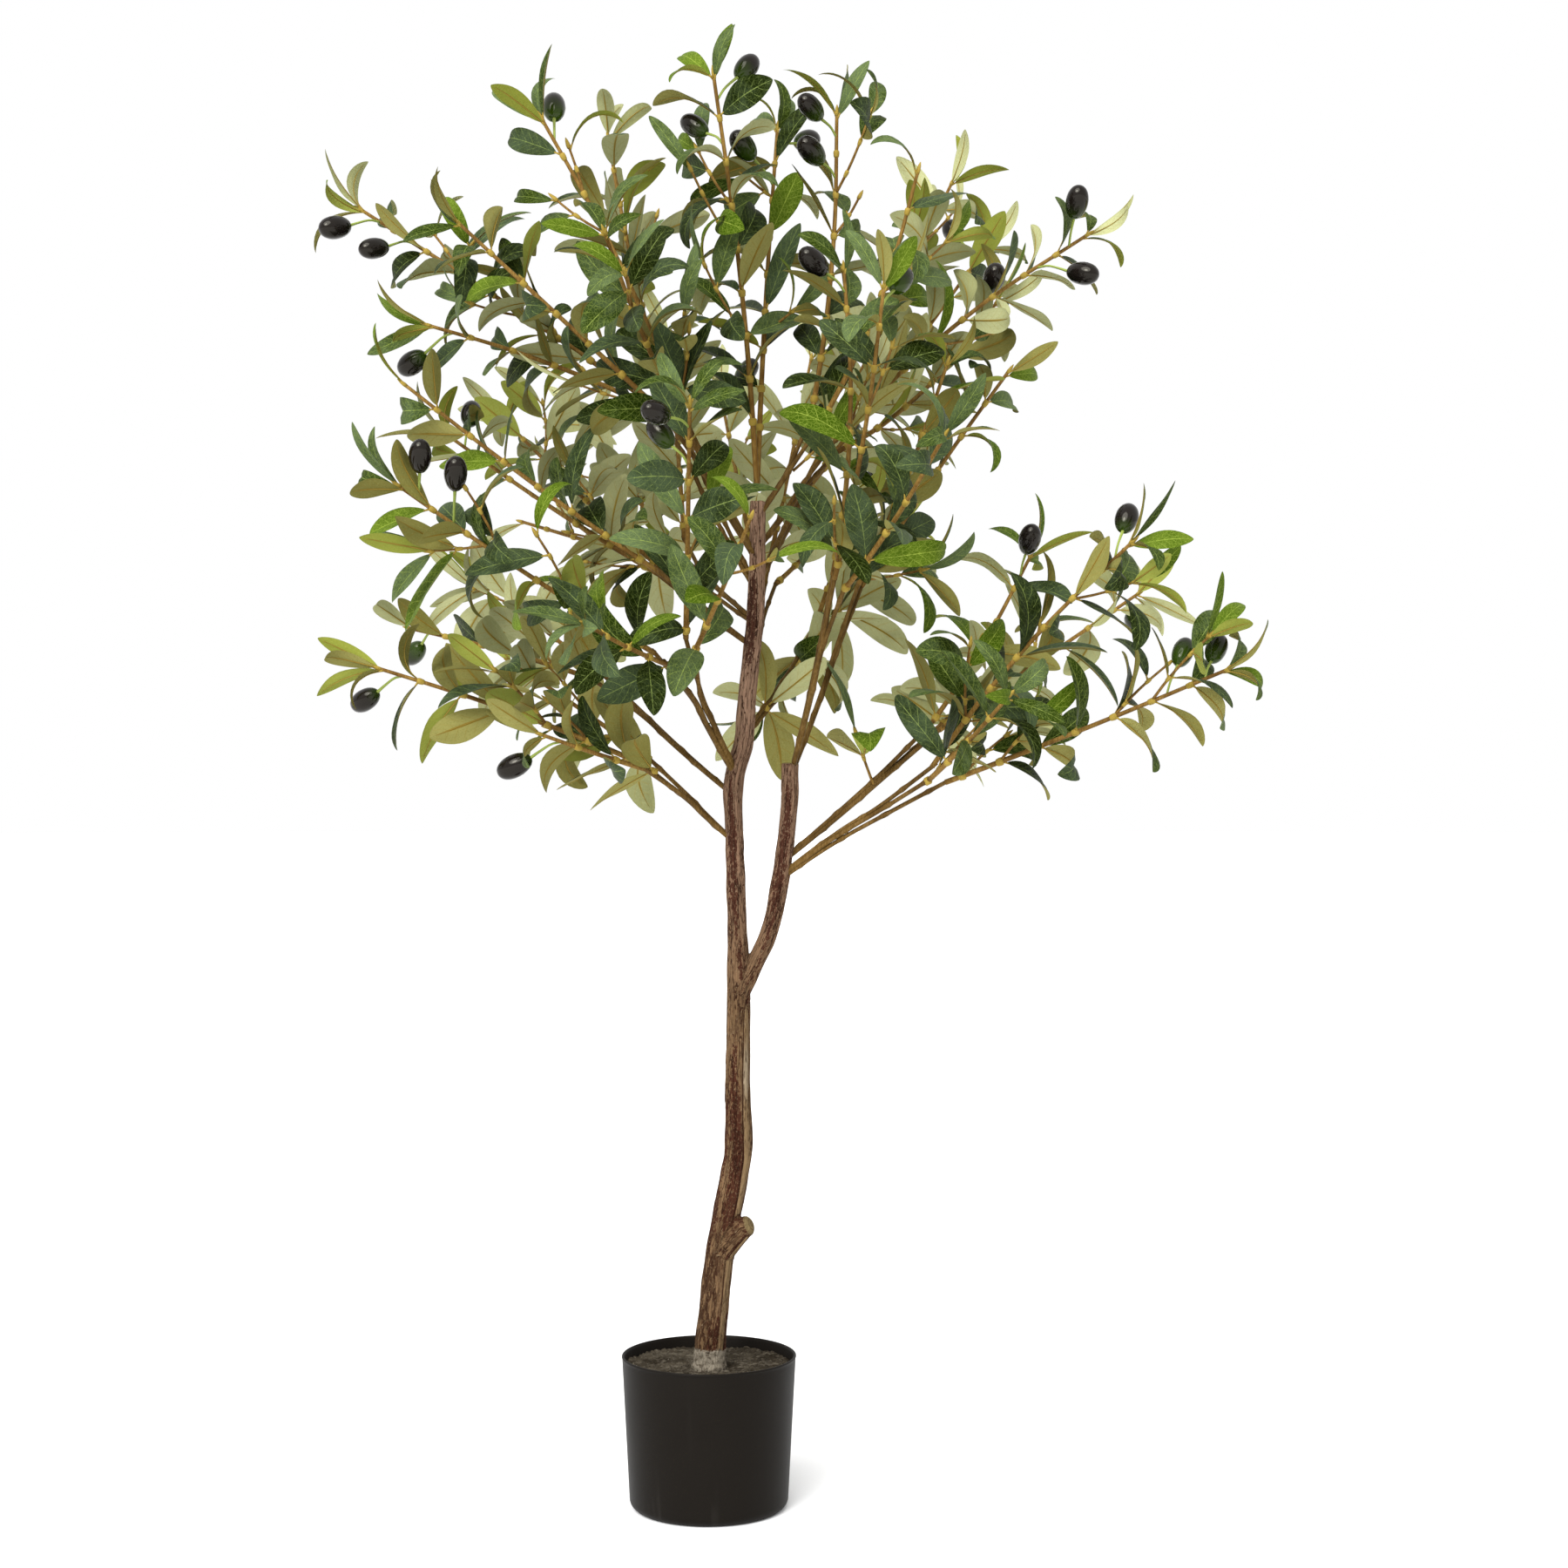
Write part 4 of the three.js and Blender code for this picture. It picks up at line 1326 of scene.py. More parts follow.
tops = {kind: Pile(f"leaves_{kind}") for kind in leaf_tops}
undersides = {kind: Pile(f"undersides_{kind}") for kind in leaf_undersides}
ribs = Pile("leaf_ribs")
for leaf in crown.leaves:
    add_leaf_sheet(tops[leaf.kind], leaf, LEAF_THICKNESS / 2)
    add_leaf_sheet(undersides[underside_of(leaf)], leaf, -LEAF_THICKNESS / 2)
    add_rib(ribs, leaf)
for kind, pile in tops.items():
    pile.make(leaf_tops[kind], "foliage", foliage_nodes)
for kind, pile in undersides.items():
    pile.make(leaf_undersides[kind], "foliage", foliage_nodes)

# %% [markdown]
# Twigs, collars and leaf stalks
#
# The wired stems are moulded in a tan plastic with browner streaks. The collars are yellower, and
# stand out from a distance as pale knuckles, so they are a piece of their own with the leaf
# stalks that plug into them and the bud at each tip. A twig is a thin tube along a rounded copy
# of its line.

# %% Finishes of twigs, collars and midribs
TWIG_TAN = (0.24, 0.145, 0.037)
TWIG_BROWN = (0.15, 0.078, 0.018)
TWIG_RUST = (0.075, 0.034, 0.008)
COLLAR_DEEP = (0.24, 0.16, 0.025)
COLLAR_LIGHT = (0.36, 0.26, 0.05)
RIB_DEEP = (0.2, 0.135, 0.02)
RIB_LIGHT = (0.3, 0.21, 0.04)
UPRIGHT_STREAKS = (700, 700, 90)


def twig_finish(name, pale, brown, rust):
    """Tan plastic with brown streaks, and rust where it is worn in broad patches."""
    finish = Finish(name, 0.55, Specular_IOR_Level=0.08, Specular_Tint=(1, 0.85, 0.5))
    place = finish.place()
    streaks = finish.cloud(finish.stretched(place, UPRIGHT_STREAKS), 1, 3).smooth(0.35, 0.65)
    worn = finish.cloud(place, 45, 2).smooth(0.42, 0.66)
    finish.wear(Base_Color=finish.mix(worn * 0.6, finish.mix(streaks, pale, brown), rust))
    finish.raised(finish.cloud(place, 900, 2), 0.4, 0.0006)
    return finish.material


def plain_plastic(name, deep, light, roughness):
    """Plastic of one colour, a little uneven in its shade."""
    finish = Finish(name, roughness, Specular_IOR_Level=0.08)
    finish.wear(Base_Color=finish.mix(finish.cloud(finish.place(), 120, 2), deep, light))
    finish.raised(finish.cloud(finish.place(), 800, 2), 0.3, 0.0005)
    return finish.material


twig_plastic = twig_finish("twig", TWIG_TAN, TWIG_BROWN, TWIG_RUST)
collar_plastic = plain_plastic("collar", COLLAR_DEEP, COLLAR_LIGHT, 0.5)
rib_plastic = plain_plastic("rib", RIB_DEEP, RIB_LIGHT, 0.6)
ribs.make(rib_plastic, "foliage", foliage_nodes)

# %% Twigs
TWIG_STEP = 9
TWIG_FEWEST_STEPS = 4
TWIG_ROOT_SWELL = 1.1
TWIG_TAPER = 0.2
STEM_TUBE_SIDES = 8
TWIG_TUBE_SIDES = 6
FINE_STEPS = 60
WIRE_JOINT = 30

twigs = Pile("twigs")


def add_twig_tube(line):
    fine = rounded(line, max(TWIG_FEWEST_STEPS, round(line_length(line) / TWIG_STEP)))
    shares = [i / (len(fine) - 1) for i in range(len(fine))]
    radii = [TWIG_RADIUS * (TWIG_ROOT_SWELL - TWIG_TAPER * share) for share in shares]
    add_tube(twigs, fine, radii, TWIG_TUBE_SIDES)


def add_stem_tube(line, start):
    """A spray's stem, from where the wire that carries it has come up to the spray's line."""
    length = line_length(line)
    steps = round((length - start) / TWIG_STEP)
    fine = part_of_line(rounded(line, FINE_STEPS), start, length, steps)
    radii = [stem_radius(start / length + (1 - start / length) * i / steps)
             for i in range(steps + 1)]
    add_tube(twigs, fine, radii, STEM_TUBE_SIDES)


for line, is_side_twig in crown.twigs:
    if is_side_twig:
        add_twig_tube(line)
for bough in boughs:
    for line, _ in bough.sprays:
        add_stem_tube(line, WIRE_JOINT if bough.length else 0)
twigs.make(twig_plastic, "stem", foliage_nodes)

# %% Collars, buds and leaf stalks
COLLAR_LENGTH = 6.5
COLLAR_LINE_STEPS = 12
STALK_SIDES = 5
STALK_RADII = (1.1, 0.9, 0.6)

# A collar swells at shares of its length before and after its middle
COLLAR_SWELL = ((-0.5, 1.0), (-0.36, 1.4), (0.1, 1.62), (0.38, 1.5), (0.5, 1.0))

# A bud's radius, at distances beyond its twig's end
BUD_RADII = ((-3, 1.7), (0, 1.9), (4, 1.3), (7, 0.3))

collars = Pile("collars")


def add_collar(line, distance, radius):
    point, along, _ = node_at(rounded(line, COLLAR_LINE_STEPS), distance)
    swollen = [point + along * COLLAR_LENGTH * share for share, _ in COLLAR_SWELL]
    add_tube(collars, swollen, [radius * swell for _, swell in COLLAR_SWELL], STEM_TUBE_SIDES)


def add_tip_bud(line):
    along = direction_at(line, line_length(line) - TUFT_BELOW_TIP)
    bud = [line[-1] + along * beyond for beyond, _ in BUD_RADII]
    add_tube(collars, bud, [radius for _, radius in BUD_RADII], TWIG_TUBE_SIDES)


for line, _ in crown.twigs:
    add_tip_bud(line)
for line, distance, radius in crown.collars:
    add_collar(line, distance, radius)
for start, end in crown.stalks:
    add_tube(collars, [start, start.lerp(end, 0.5), end], STALK_RADII, STALK_SIDES)
collars.make(collar_plastic, "stem", foliage_nodes)

# %% [markdown]
# Olives
#
# The olives are hollow plastic, dipped nearly black with a purple cast, and glossy. Some stay
# green round the stalk. An olive is turned about its own axis: a rounded outline, slightly
# fuller towards the free end. Its thin stalk arches up a little between the twig and the olive.

# %% Olive finish
RIPE_DEEP = (0.003, 0.0022, 0.002)
RIPE_LIGHT = (0.008, 0.0055, 0.005)
UNRIPE = (0.022, 0.045, 0.003)
STALK_DEEP = (0.2, 0.26, 0.045)
STALK_LIGHT = (0.3, 0.36, 0.09)
OLIVE_BLOTCHES = 90


def olive_finish():
    finish = Finish("olive", 0.12, Specular_IOR_Level=0.25, Specular_Tint=(1, 0.96, 0.82))
    flat = finish.node("ShaderNodeUVMap", {"uv_map": "flat"})
    _, along, _ = finish.parts_of(flat)
    blotches = finish.cloud(finish.place(), OLIVE_BLOTCHES, 2)
    unripe = (along + blotches * 0.2 + finish.each_leaf() * 0.6).smooth(0.95, 0.4)
    skin = finish.mix(blotches, RIPE_DEEP, RIPE_LIGHT)
    finish.wear(Base_Color=finish.mix(unripe, skin, UNRIPE))
    finish.raised(finish.cloud(finish.place(), OLIVE_BLOTCHES, 2), 0.1, 0.0006)
    return finish.material


olive_plastic = olive_finish()
olive_stalk_plastic = plain_plastic("olive stalk", STALK_DEEP, STALK_LIGHT, 0.5)

# %% Olives
OLIVE_SIDES = 18
OLIVE_ROWS = 13
OLIVE_OPEN_END = 0.03
OLIVE_FULLNESS = 0.92
OLIVE_FREE_END = 0.05

olives = Pile("olives")


def add_olive(seat, end, keys):
    """An olive as a tube whose radius swells and closes."""
    axis = end - seat
    shares = [row / (OLIVE_ROWS - 1) for row in range(OLIVE_ROWS)]
    turns = [math.pi * (OLIVE_OPEN_END + (1 - 2 * OLIVE_OPEN_END) * share) for share in shares]
    line = [seat + axis * (1 - math.cos(turn)) / 2 for turn in turns]
    width = OLIVE_WIDTH / 2 * between(OLIVE_LIMITS, *keys, OLIVE_WIDTH_KEY)
    radii = [
        width * math.sin(turn) ** OLIVE_FULLNESS * (1 - OLIVE_FREE_END * math.cos(turn))
        for turn in turns
    ]
    rows = []
    flats = []
    for row, (side, front) in enumerate(across_line(line)):
        rows.append(ring(line[row], side, -front, radii[row], OLIVE_SIDES))
        flats.append([(i / OLIVE_SIDES, shares[row]) for i in range(OLIVE_SIDES)])
    olives.add_grid(rows, flats, closed=True, capped=True)


for _, seat, end, keys in crown.olives:
    add_olive(seat, end, keys)
olives.make(olive_plastic, "foliage", foliage_nodes)

# %% Olive stalks
OLIVE_STALK_RADIUS = 1.05
OLIVE_STALK_STEPS = 8
OLIVE_STALK_SIDES = 6
OLIVE_STALK_SWELL = 0.5
OLIVE_STALK_SUNK = 0.06

# How high the stalk arches, and the shares of the way at which it does
STALK_ARCH = 3
STALK_ARCH_AT = 0.35
STALK_FALLS_AT = 0.75
STALK_FALLEN_ARCH = 0.6

olive_stalks = Pile("olive_stalks")


def add_olive_stalk(point, seat, end):
    """A stalk that arches from its twig to the olive, and is stoutest where it meets it."""
    arch = Vector((0, 0, STALK_ARCH))
    stalk = [
        point,
        point.lerp(seat, STALK_ARCH_AT) + arch,
        point.lerp(seat, STALK_FALLS_AT) + arch * STALK_FALLEN_ARCH,
        seat + (end - seat) * OLIVE_STALK_SUNK,
    ]
    shares = [step / OLIVE_STALK_STEPS for step in range(OLIVE_STALK_STEPS + 1)]
    radii = [OLIVE_STALK_RADIUS * (1 + OLIVE_STALK_SWELL * share ** 4) for share in shares]
    add_tube(olive_stalks, rounded(stalk, OLIVE_STALK_STEPS), radii, OLIVE_STALK_SIDES)


for point, seat, end, _ in crown.olives:
    add_olive_stalk(point, seat, end)
olive_stalks.make(olive_stalk_plastic, "foliage", foliage_nodes)

# %% [markdown]
# Trunk and side stem
#
# The real trunk is a steel core in moulded foam, cast from true olive wood: long flutes, cracks
# that run lengthwise, a crook, a fork and a sawn stub. Three tubes along their lines give the
# form. A voxel remesh melts them into one skin with soft crotches where they join, and then
# every point of that skin is moved in or out by noise that is drawn out along the grain. Only the
# sawn ends of the stub and of the side stem are left as they are.

# %% The trunk's tubes
SKIN_GAIN = 0.6
TRUNK_TUBE_SIDES = 28
TRUNK_STEPS = 150
SIDE_STEPS = 50

rough_trunk = Pile("rough_trunk")


def add_station_tube(stations, steps):
    """A tube through stations, a little thicker than they say, for the smoothing to take back."""
    line = rounded(station_line(stations), steps)
    heights = [station[0] for station in stations]
    widths = [station[3] + SKIN_GAIN for station in stations]
    radii = [float(np.interp(point.z, heights, widths)) for point in line]
    add_tube(rough_trunk, line, radii, TRUNK_TUBE_SIDES)


add_station_tube(TRUNK_STATIONS, TRUNK_STEPS)
add_station_tube(SIDE_STEM_STATIONS, SIDE_STEPS)
print("trunk", round(line_length(station_line(TRUNK_STATIONS))), "mm long")

# %% The stub
STUB_TURN = -18
STUB_DROP = 13
STUB_STEEPER = 9
STUB_LONGER = 4.2
STUB_SWELL = (1.84, 1.72, 1.65, 1.59, 1.53, 1.48, 1.45, 1.43)
STUB_END_RISE = 24
STUB_END_STEPS = (5.2, 2.4)
STUB_END_SWELL = (1.28, 0.75)
STUB_SIDES = 20


def add_stub():
    """The stub: thick, broadest at its root, with a sawn face whose edge is cast rounded."""
    start = place_at_height(carriers["trunk"], STUB_HEIGHT - STUB_DROP)
    rise = STUB_RISE + STUB_STEEPER
    line = bent_line(start, STUB_TURN, rise, STUB_LENGTH + STUB_LONGER, 0, len(STUB_SWELL) - 1)
    for step in STUB_END_STEPS:
        line.append(line[-1] + heading(STUB_TURN, STUB_END_RISE) * step)
    radii = [STUB_RADIUS * swell for swell in (*STUB_SWELL, *STUB_END_SWELL)]
    add_tube(rough_trunk, line, radii, STUB_SIDES)
    return line[:-1]


stub_line = add_stub()
sawn_ends = [
    (line[-1], (line[-1] - line[-2]).normalized()) for line in (stub_line, carriers["side_stem"])
]
print("stub", round(line_length(stub_line)), "mm long")

# %% Melt the tubes into one skin
SKIN_VOXEL = 0.95
SKIN_SOFTENING = 0.6
SKIN_ROUNDS = 6


def melted(rough):
    """The tubes of a pile as one smooth closed mesh, already in metres."""
    mesh = bpy.data.meshes.new(rough.name)
    mesh.from_pydata([tuple(point) for point in np.array(rough.points) * MM], [], rough.faces)
    source = bpy.data.objects.new(rough.name, mesh)
    bpy.context.scene.collection.objects.link(source)
    remesh = source.modifiers.new("melt", "REMESH")
    remesh.mode = "VOXEL"
    remesh.voxel_size = SKIN_VOXEL * MM
    smooth = source.modifiers.new("soften", "SMOOTH")
    smooth.factor = SKIN_SOFTENING
    smooth.iterations = SKIN_ROUNDS
    shaped = source.evaluated_get(bpy.context.evaluated_depsgraph_get())
    skin = bpy.data.meshes.new_from_object(shaped)
    bpy.data.objects.remove(source)
    return skin


trunk_skin = melted(rough_trunk)
print("skin points", len(trunk_skin.vertices))

# %% Measure the skin


def vectors_of(source, name):
    """The vectors that Blender keeps under a name, as an array with one row for each."""
    values = np.empty(len(source) * 3, dtype=np.float32)
    source.foreach_get(name, values)
    return values.reshape(-1, 3)


def nearest_on(points, starts, ends):
    """The nearest point of any stretch to each point."""
    steps = ends - starts
    share = ((points[:, None] - starts) * steps).sum(2) / (steps ** 2).sum(1)
    nearest = starts + np.clip(share, 0, 1)[..., None] * steps
    best = np.linalg.norm(points[:, None] - nearest, axis=2).argmin(1)
    return nearest[np.arange(len(points)), best]


def eased(value, low, high):
    """0 below low and 1 above high, or the other way round, with a soft step between."""
    share = min(max((value - low) / (high - low), 0), 1)
    return share * share * (3 - 2 * share)


# %% The pale ridge, the seams and the cement at the foot
RIDGE_TURN = -46
RIDGE_WIDTH = 16
RIDGE_WANDER = 12
RIDGE_TOP = 470
RIDGE_FADE = 60
RIDGE_GROOVE = 1.1
SMEAR_TOP = 134.5
SMEAR_SCALLOPS = 4
SMEAR_CRUMBS = 2
SAWN_SKIN = 0.8
SAWN_REACH = 10

# Nought means that a point isn't on a sawn end, so right at an end's middle this stands for it
SAWN_MIDDLE = 0.2


def long_seam(x, y, z):
    """A number that passes through nought along crooked lines up the grain."""
    return noise.noise((x * 0.2, y * 0.2 + 5, z * 0.014)) + 0.2 * noise.noise((x, y, z * 0.2))


def off_ridge(x, y, z):
    """How far round the trunk a point is from the pale ridge: 1 at the ridge's own edge."""
    wander = RIDGE_WANDER * noise.noise((2, 7, z * 0.014))
    off = math.degrees(math.atan2(y, x)) - RIDGE_TURN - wander
    off = abs((off + 180) % 360 - 180) / RIDGE_WIDTH
    return off + 4 * eased(z, RIDGE_TOP - RIDGE_FADE, RIDGE_TOP)


def above_smear(x, y, z):
    """How far a point is above the ragged edge of the cement that clings to the foot."""
    scallops = SMEAR_SCALLOPS * noise.noise((x * 0.14, y * 0.14, 1))
    return z - SMEAR_TOP - scallops - SMEAR_CRUMBS * noise.noise((x, y, z))


def sawn(point):
    """How far a point on a sawn end is from the end's middle, or nought if it is on neither."""
    for end, along in sawn_ends:
        away = (point - end).length
        if (point - end).dot(along) > -SAWN_SKIN and away < SAWN_REACH:
            return max(away, SAWN_MIDDLE)
    return 0


# %% [markdown]
# Where the wash has stayed
#
# The maroon wash lies in soft blotches, and more of it has stayed in some places: round the
# crook, in a stripe up the front, beside the pale ridge and down at the foot, in a streak up the
# upper trunk, along the side stem and under the stub. Between the foot and the crook and near the
# top it is rubbed thin. Each place has a strength, where 1 covers the bark, and pairs of limits
# between which it comes in or, with the larger limit first, fades out. Limits called FROM and
# UNTIL are heights above the pot's foot, and SIDES are distances to either side of a line that
# runs up the trunk. A few are measured in another way, which a comment of their own gives.

# %% The places of the wash
CROOK_WASH = 0.5
CROOK_HEIGHT = 285
CROOK_REACH = 52

FRONT_WASH = 0.3
FRONT_MIDDLE = -1
FRONT_SIDES = (6, 2)
FRONT_FROM = (225, 250)
FRONT_UNTIL = (430, 380)

RUBBED = 0.25
RUBBED_FROM = (155, 180)
RUBBED_UNTIL = (245, 220)

FOOT_WASH = 0.25
FOOT_UNTIL = (175, 150)

TOP_RUBBED = 0.35
TOP_FROM = (760, 800)

# Beside the ridge, the sides are in widths of the ridge from its middle
RIDGE_WASH = 0.6
RIDGE_WASH_MIDDLE = 1.6
RIDGE_WASH_SIDES = (0.7, 0.3)
RIDGE_WASH_UNTIL = (245, 225)

STREAK_WASH = 0.35
STREAK_WANDER = 4
STREAK_MIDDLE = -1
STREAK_SIDES = (3.5, 1)
STREAK_FROM = (340, 400)

# The side stem is where the middle line is this far to the right
SIDE_STEM_WASH = 0.55
SIDE_STEM_FROM_X = (44, 54)
SIDE_STEM_MIDDLE = -0.5
SIDE_STEM_SIDES = (4, 1.5)
SIDE_STEM_STRONGEST = 560
SIDE_STEM_STRONG_PART = (60, 30)

# Under the stub, the wash comes in this far below the stub's middle line
UNDER_STUB_WASH = 0.5
UNDER_STUB_BELOW = (4, 7)
UNDER_STUB_UNTIL = (270, 250)

# All of it together shows between these two sums
WASH_LIMITS = (-0.1, 0.75)


def wash_by_height(x, z):
    """The stripe up the front and the wash at the foot, less what is rubbed away."""
    sides = eased(abs(x - FRONT_MIDDLE), *FRONT_SIDES)
    wash = FRONT_WASH * sides * eased(z, *FRONT_FROM) * eased(z, *FRONT_UNTIL)
    wash -= RUBBED * eased(z, *RUBBED_UNTIL) * eased(z, *RUBBED_FROM)
    wash += FOOT_WASH * eased(z, *FOOT_UNTIL)
    return wash - TOP_RUBBED * eased(z, *TOP_FROM)


def ridge_wash(z, off):
    """The dark band on either side of the pale ridge."""
    sides = eased(abs(off - RIDGE_WASH_MIDDLE), *RIDGE_WASH_SIDES)
    return RIDGE_WASH * sides * eased(z, *RIDGE_WASH_UNTIL)


def streak_wash(x, z):
    """The streak that wanders up the upper trunk."""
    middle = STREAK_WANDER * noise.noise((3, 3, z * 0.012)) + STREAK_MIDDLE
    return STREAK_WASH * eased(abs(x - middle), *STREAK_SIDES) * eased(z, *STREAK_FROM)


def side_stem_wash(x, z, middle_x):
    """The streak up the side stem, which is strongest about its middle."""
    strong_part = 0.5 + 0.5 * eased(abs(z - SIDE_STEM_STRONGEST), *SIDE_STEM_STRONG_PART)
    on_side_stem = eased(middle_x, *SIDE_STEM_FROM_X)
    sides = eased(abs(x - SIDE_STEM_MIDDLE), *SIDE_STEM_SIDES)
    return SIDE_STEM_WASH * on_side_stem * sides * strong_part


def stain(x, y, z, middle_x, below, off):
    """How much of the maroon wash has stayed at a point, from 0 to 1."""
    blotches = noise.noise((x * 0.08, y * 0.08, z * 0.011))
    crook = CROOK_WASH * math.exp(-((z - CROOK_HEIGHT) / CROOK_REACH) ** 2)
    lines = max(streak_wash(x, z), side_stem_wash(x, z, middle_x), ridge_wash(z, off))
    under_stub = UNDER_STUB_WASH * eased(below, *UNDER_STUB_BELOW) * eased(z, *UNDER_STUB_UNTIL)
    return eased(blotches + crook + wash_by_height(x, z) + lines + under_stub, *WASH_LIMITS)


# %% Carve the bark
FLUTE_DEPTH = 1
FLUTE_ACROSS = 0.13
FLUTE_ALONG = 0.005
LUMP_DEPTH = 1
LUMP_ACROSS = 0.22
LUMP_ALONG = 0.045
LUMP_SHIFT = 9
SEAM_DEPTH = 0.8
SEAM_NARROWNESS = 9
RIDGE_HEIGHT = 0.6
RIDGE_EDGE = (1, 0.7)
RIDGE_GROOVE_NARROWNESS = 4
SMEAR_THICKNESS = 0.7
SMEAR_BUMPS = 0.3
SMEAR_FADE = 0.8
CEMENT_MEETS_AT = 119
CEMENT_MEETS_REACH = 3
CEMENT_MEETS_LIFT = 1.3


def relief(x, y, z, off, seam):
    """Flutes and lumps, the raised ridge, and a groove along each seam and beside the ridge."""
    ridge = eased(off, *RIDGE_EDGE)
    beside_ridge = 1 - abs(off - RIDGE_GROOVE) * RIDGE_GROOVE_NARROWNESS
    groove = max(0, beside_ridge, 1 - abs(seam) * SEAM_NARROWNESS)
    flutes = noise.noise((x * FLUTE_ACROSS, y * FLUTE_ACROSS, z * FLUTE_ALONG))
    lumps = noise.noise((x * LUMP_ACROSS + LUMP_SHIFT, y * LUMP_ACROSS, z * LUMP_ALONG))
    move = FLUTE_DEPTH * flutes + LUMP_DEPTH * lumps * (1 - ridge)
    return move + (RIDGE_HEIGHT * ridge - SEAM_DEPTH * groove)


def crust(x, y, z):
    """How thick the cement lies on the foot, most of all where the filling meets it."""
    bumps = noise.noise((x * SMEAR_BUMPS, y * SMEAR_BUMPS, z * SMEAR_BUMPS))
    lift = math.exp(-((z - CEMENT_MEETS_AT) / CEMENT_MEETS_REACH) ** 2)
    return SMEAR_THICKNESS * (1 + bumps) + CEMENT_MEETS_LIFT * lift


def carve_bark(skin):
    """Moves the skin in and out, and keeps the grain's own place and the cracks for the finish."""
    points = vectors_of(skin.vertices, "co") / MM
    normals = vectors_of(skin.vertex_normals, "vector")
    middles = [*[rounded(line, FINE_STEPS) for line in carriers.values()], stub_line]
    centres = nearest_on(points, *stretches(middles))
    grain = points - centres
    grain[:, 2] = points[:, 2]
    kept = {name: np.zeros(len(points), dtype=np.float32)
            for name in ("seam", "off", "stain", "smear", "sawn")}
    moves = np.zeros(len(points))
    for i, (x, y, z) in enumerate(grain.tolist()):
        seam = kept["seam"][i] = long_seam(x, y, z)
        off = kept["off"][i] = off_ridge(x, y, z)
        above = kept["smear"][i] = above_smear(x, y, z)
        kept["stain"][i] = stain(x, y, z, centres[i][0], centres[i][2] - points[i][2], off)
        kept["sawn"][i] = sawn(Vector(points[i].tolist()))
        if not kept["sawn"][i]:
            move = relief(x, y, z, off, seam)
            moves[i] = move + (crust(x, y, z) - move) * eased(above, SMEAR_FADE, -SMEAR_FADE)
    moved = points + normals * moves[:, None]
    skin.vertices.foreach_set("co", (moved * MM).astype(np.float32).ravel())
    skin.attributes.new("grain", "FLOAT_VECTOR", "POINT").data.foreach_set(
        "vector", grain.astype(np.float32).ravel())
    for name, values in kept.items():
        skin.attributes.new(name, "FLOAT", "POINT").data.foreach_set("value", values)
    print("carved by", round(moves.min(), 2), "to", round(moves.max(), 2), "mm")


carve_bark(trunk_skin)

# %% [markdown]
# The bark's finish
#
# The foam is cast in tan and washed with a maroon-brown stain that stays in the cracks and in
# long blotches, while the ridge is rubbed back to khaki, and at one height almost to white. The
# bark grows rosier and paler towards the top. The grain attribute that the carving left gives the
# pattern its place, so the streaks follow the trunk round its crook. Short crooked cracks cover
# the left side low down. At the foot a collar of cement was smeared up the bark when the pot was
# filled. The sawn ends are bare, with rings round their middle.
#
# The finish is a stack of coats: each line mixes one more colour over those before it.

# %% The bark's colours
DEEP_TAN = (0.098, 0.058, 0.028)
LIGHT_TAN = (0.15, 0.089, 0.045)
ROSY_TAN = (0.18, 0.107, 0.068)
PALE_TOP_TAN = (0.27, 0.165, 0.11)
RIDGE_KHAKI = (0.17, 0.115, 0.058)
RUBBED_WHITE = (0.33, 0.28, 0.2)
FIBRE_BROWN = (0.06, 0.034, 0.018)
WASH_MAROON = (0.036, 0.0095, 0.0055)
HAIRLINE_BROWN = (0.03, 0.013, 0.008)
CRACK_DARK = (0.02, 0.0065, 0.0035)
FLECK_TAN = (0.2, 0.145, 0.085)
SAWN_TAN = (0.15, 0.108, 0.05)
RING_BROWN = (0.05, 0.028, 0.015)
SMEAR_DEEP = (0.06, 0.047, 0.033)
SMEAR_LIGHT = (0.2, 0.172, 0.13)

# Heights in metres between which a coat comes or goes: none at the first, all at the second
ROSY_COMES = (0.4, 0.6)
PALE_TOP_COMES = (0.62, 0.7)
RUBBED_COMES = (0.34, 0.36)
RUBBED_GOES = (0.405, 0.375)
WORMS_GO = (0.27, 0.2)

# %% Bark


def along_grain(finish, grain, scale, detail=3, roughness=0.6):
    """Noise that is drawn out along the grain wherever the third scale is the smallest."""
    return finish.cloud(finish.stretched(grain, scale), 1, detail, roughness)


